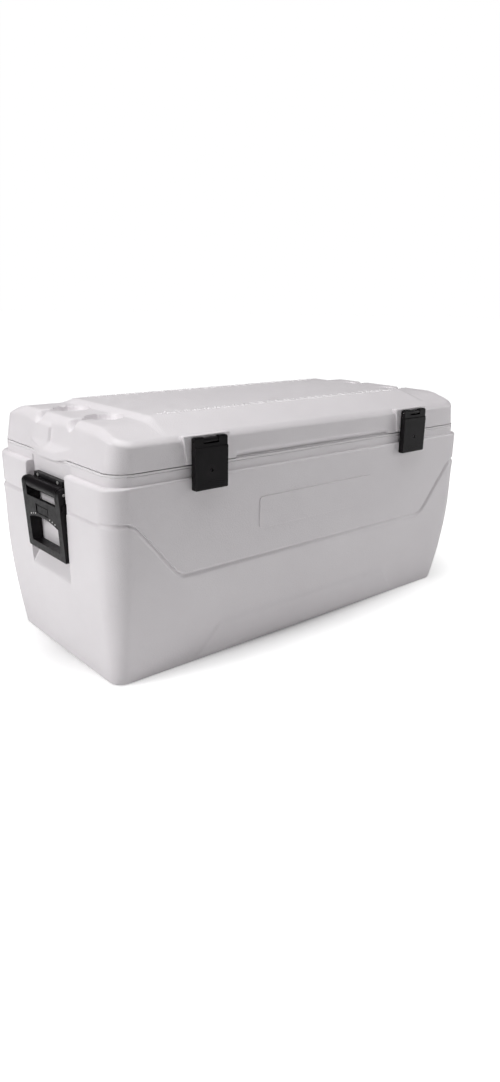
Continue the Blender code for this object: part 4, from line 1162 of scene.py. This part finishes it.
def floor_finish():
    """A pale floor that glows more further out, so that it runs into the backdrop, and glows little round the
    cooler's footprint, which paints shade on the floor round its base.
    """
    made, shader = glowing("floor_finish", (0.90, 0.90, 0.90), 0.0)
    nodes = made.node_tree.nodes
    links = made.node_tree.links
    where = nodes.new("ShaderNodeTexCoord")
    plan = nodes.new("ShaderNodeVectorMath")
    plan.operation = "MULTIPLY"
    plan.inputs[1].default_value = (FLOOR_SQUEEZE / FLOOR_SPAN, 1.0 / FLOOR_SPAN, 0.0)
    links.new(where.outputs["Object"], plan.inputs[0])
    distance = nodes.new("ShaderNodeVectorMath")
    distance.operation = "LENGTH"
    links.new(plan.outputs["Vector"], distance.inputs[0])
    # The glow ramp: its dim start paints shade on the floor round the cooler's base
    glow = nodes.new("ShaderNodeValToRGB")
    steps = glow.color_ramp.elements
    while len(steps) < len(FLOOR_GLOW_AND_BASE_SHADE):
        steps.new(1.0)
    for step, (far, strength) in zip(steps, FLOOR_GLOW_AND_BASE_SHADE):
        step.position = far / FLOOR_SPAN
        step.color = (strength, strength, strength, 1.0)
    links.new(distance.outputs["Value"], glow.inputs["Fac"])
    seen = nodes.new("ShaderNodeMapRange")
    seen.inputs["To Min"].default_value = FLOOR_BOUNCE
    links.new(nodes.new("ShaderNodeLightPath").outputs["Is Camera Ray"], seen.inputs["Value"])
    strength = nodes.new("ShaderNodeMath")
    strength.operation = "MULTIPLY"
    links.new(glow.outputs["Color"], strength.inputs[0])
    links.new(seen.outputs["Result"], strength.inputs[1])
    links.new(strength.outputs["Value"], shader.inputs["Emission Strength"])
    return made


def make_stage():
    """The floor, a bright backdrop that only the camera sees, and a faint light from all round."""
    mesh = bpy.data.meshes.new("floor")
    corners = [(FLOOR_HALF * x, FLOOR_HALF * y, 0.0) for x, y in ((-1, -1), (1, -1), (1, 1), (-1, 1))]
    mesh.from_pydata(corners, [], [(0, 1, 2, 3)])
    mesh.materials.append(floor_finish())
    floor = bpy.data.objects.new("floor", mesh)
    bpy.context.scene.collection.objects.link(floor)
    bm = bmesh.new()
    bmesh.ops.create_icosphere(bm, subdivisions=3, radius=BACKDROP_R)
    mesh = bpy.data.meshes.new("backdrop")
    bm.to_mesh(mesh)
    bm.free()
    mesh.materials.append(glowing("backdrop_finish", (0.0, 0.0, 0.0), 1.0)[0])
    backdrop = bpy.data.objects.new("backdrop", mesh)
    bpy.context.scene.collection.objects.link(backdrop)
    for kind in ("diffuse", "glossy", "transmission", "volume_scatter", "shadow"):
        setattr(backdrop, "visible_" + kind, False)

    world = bpy.data.worlds.new("studio")
    bpy.context.scene.world = world
    world.use_nodes = True
    background = world.node_tree.nodes["Background"]
    background.inputs["Color"].default_value = (1.0, 0.99, 0.985, 1.0)
    background.inputs["Strength"].default_value = 0.03


def soft_light(name, at, target, size, power):
    data = bpy.data.lights.new(name, "AREA")
    data.shape = "RECTANGLE"
    data.size, data.size_y = size
    data.energy = power
    lamp = bpy.data.objects.new(name, data)
    bpy.context.scene.collection.objects.link(lamp)
    lamp.location = at
    lamp.rotation_mode = "QUATERNION"
    lamp.rotation_quaternion = (Vector(target) - Vector(at)).to_track_quat("-Z", "Y")
    lamp.visible_camera = False


def make_lights():
    middle = (0.0, 0.0, 0.25)
    soft_light("key_left", (-3.0, 0.4, 1.9), middle, (1.2, 1.0), 51.0)
    soft_light("overhead", (-0.3, -0.2, 3.2), middle, (2.2, 1.8), 64.0)
    soft_light("fill_right", (2.0, -1.2, 0.85), middle, (1.1, 0.9), 11.5)


CAMERA_AT = (-1.1758, -1.3936, 0.7576)
CAMERA_TURN = (40.503, 18.361, 0.981)
CAMERA_LENS = 24.79


def make_camera():
    """Looks along a heading from +Y, dipped below the horizon, with a little roll."""
    heading, dip, roll = (math.radians(angle) for angle in CAMERA_TURN)
    right = Vector((math.cos(heading), -math.sin(heading), 0.0))
    forward = Vector((math.sin(heading) * math.cos(dip), math.cos(heading) * math.cos(dip), -math.sin(dip)))
    up = right.cross(forward)
    across = right * math.cos(roll) + up * math.sin(roll)
    upright = across.cross(forward)
    data = bpy.data.cameras.new("camera")
    data.sensor_fit = "AUTO"
    data.sensor_width = 36.0
    data.lens = CAMERA_LENS
    data.clip_start = 0.02
    data.clip_end = 200.0
    camera = bpy.data.objects.new("camera", data)
    bpy.context.scene.collection.objects.link(camera)
    turn = Matrix((across, upright, -forward)).transposed().to_4x4()
    camera.matrix_world = Matrix.Translation(CAMERA_AT) @ turn
    bpy.context.scene.camera = camera


def main():
    make_camera()
    looks = {
        "shell": white_shell(),
        "liner": white_liner(),
        "fittings": white_fittings(),
        "black": black_plastic(),
        "steel": stainless_steel(),
        "rubber": gasket_rubber(),
        "foam": insulation_foam(),
    }
    finish_nodes(looks)
    make_body(looks["shell"])
    make_lid(looks["shell"])
    make_lid_foam(looks["foam"])
    make_rulers(white_marks())
    for name, side in SIDES:
        make_latch(name, side, looks["black"])
        make_handle(name, side, looks["black"], looks["steel"])
    make_drain_cap(looks["fittings"])
    make_stage()
    make_lights()
    bpy.context.scene.view_settings.view_transform = "Standard"


main()
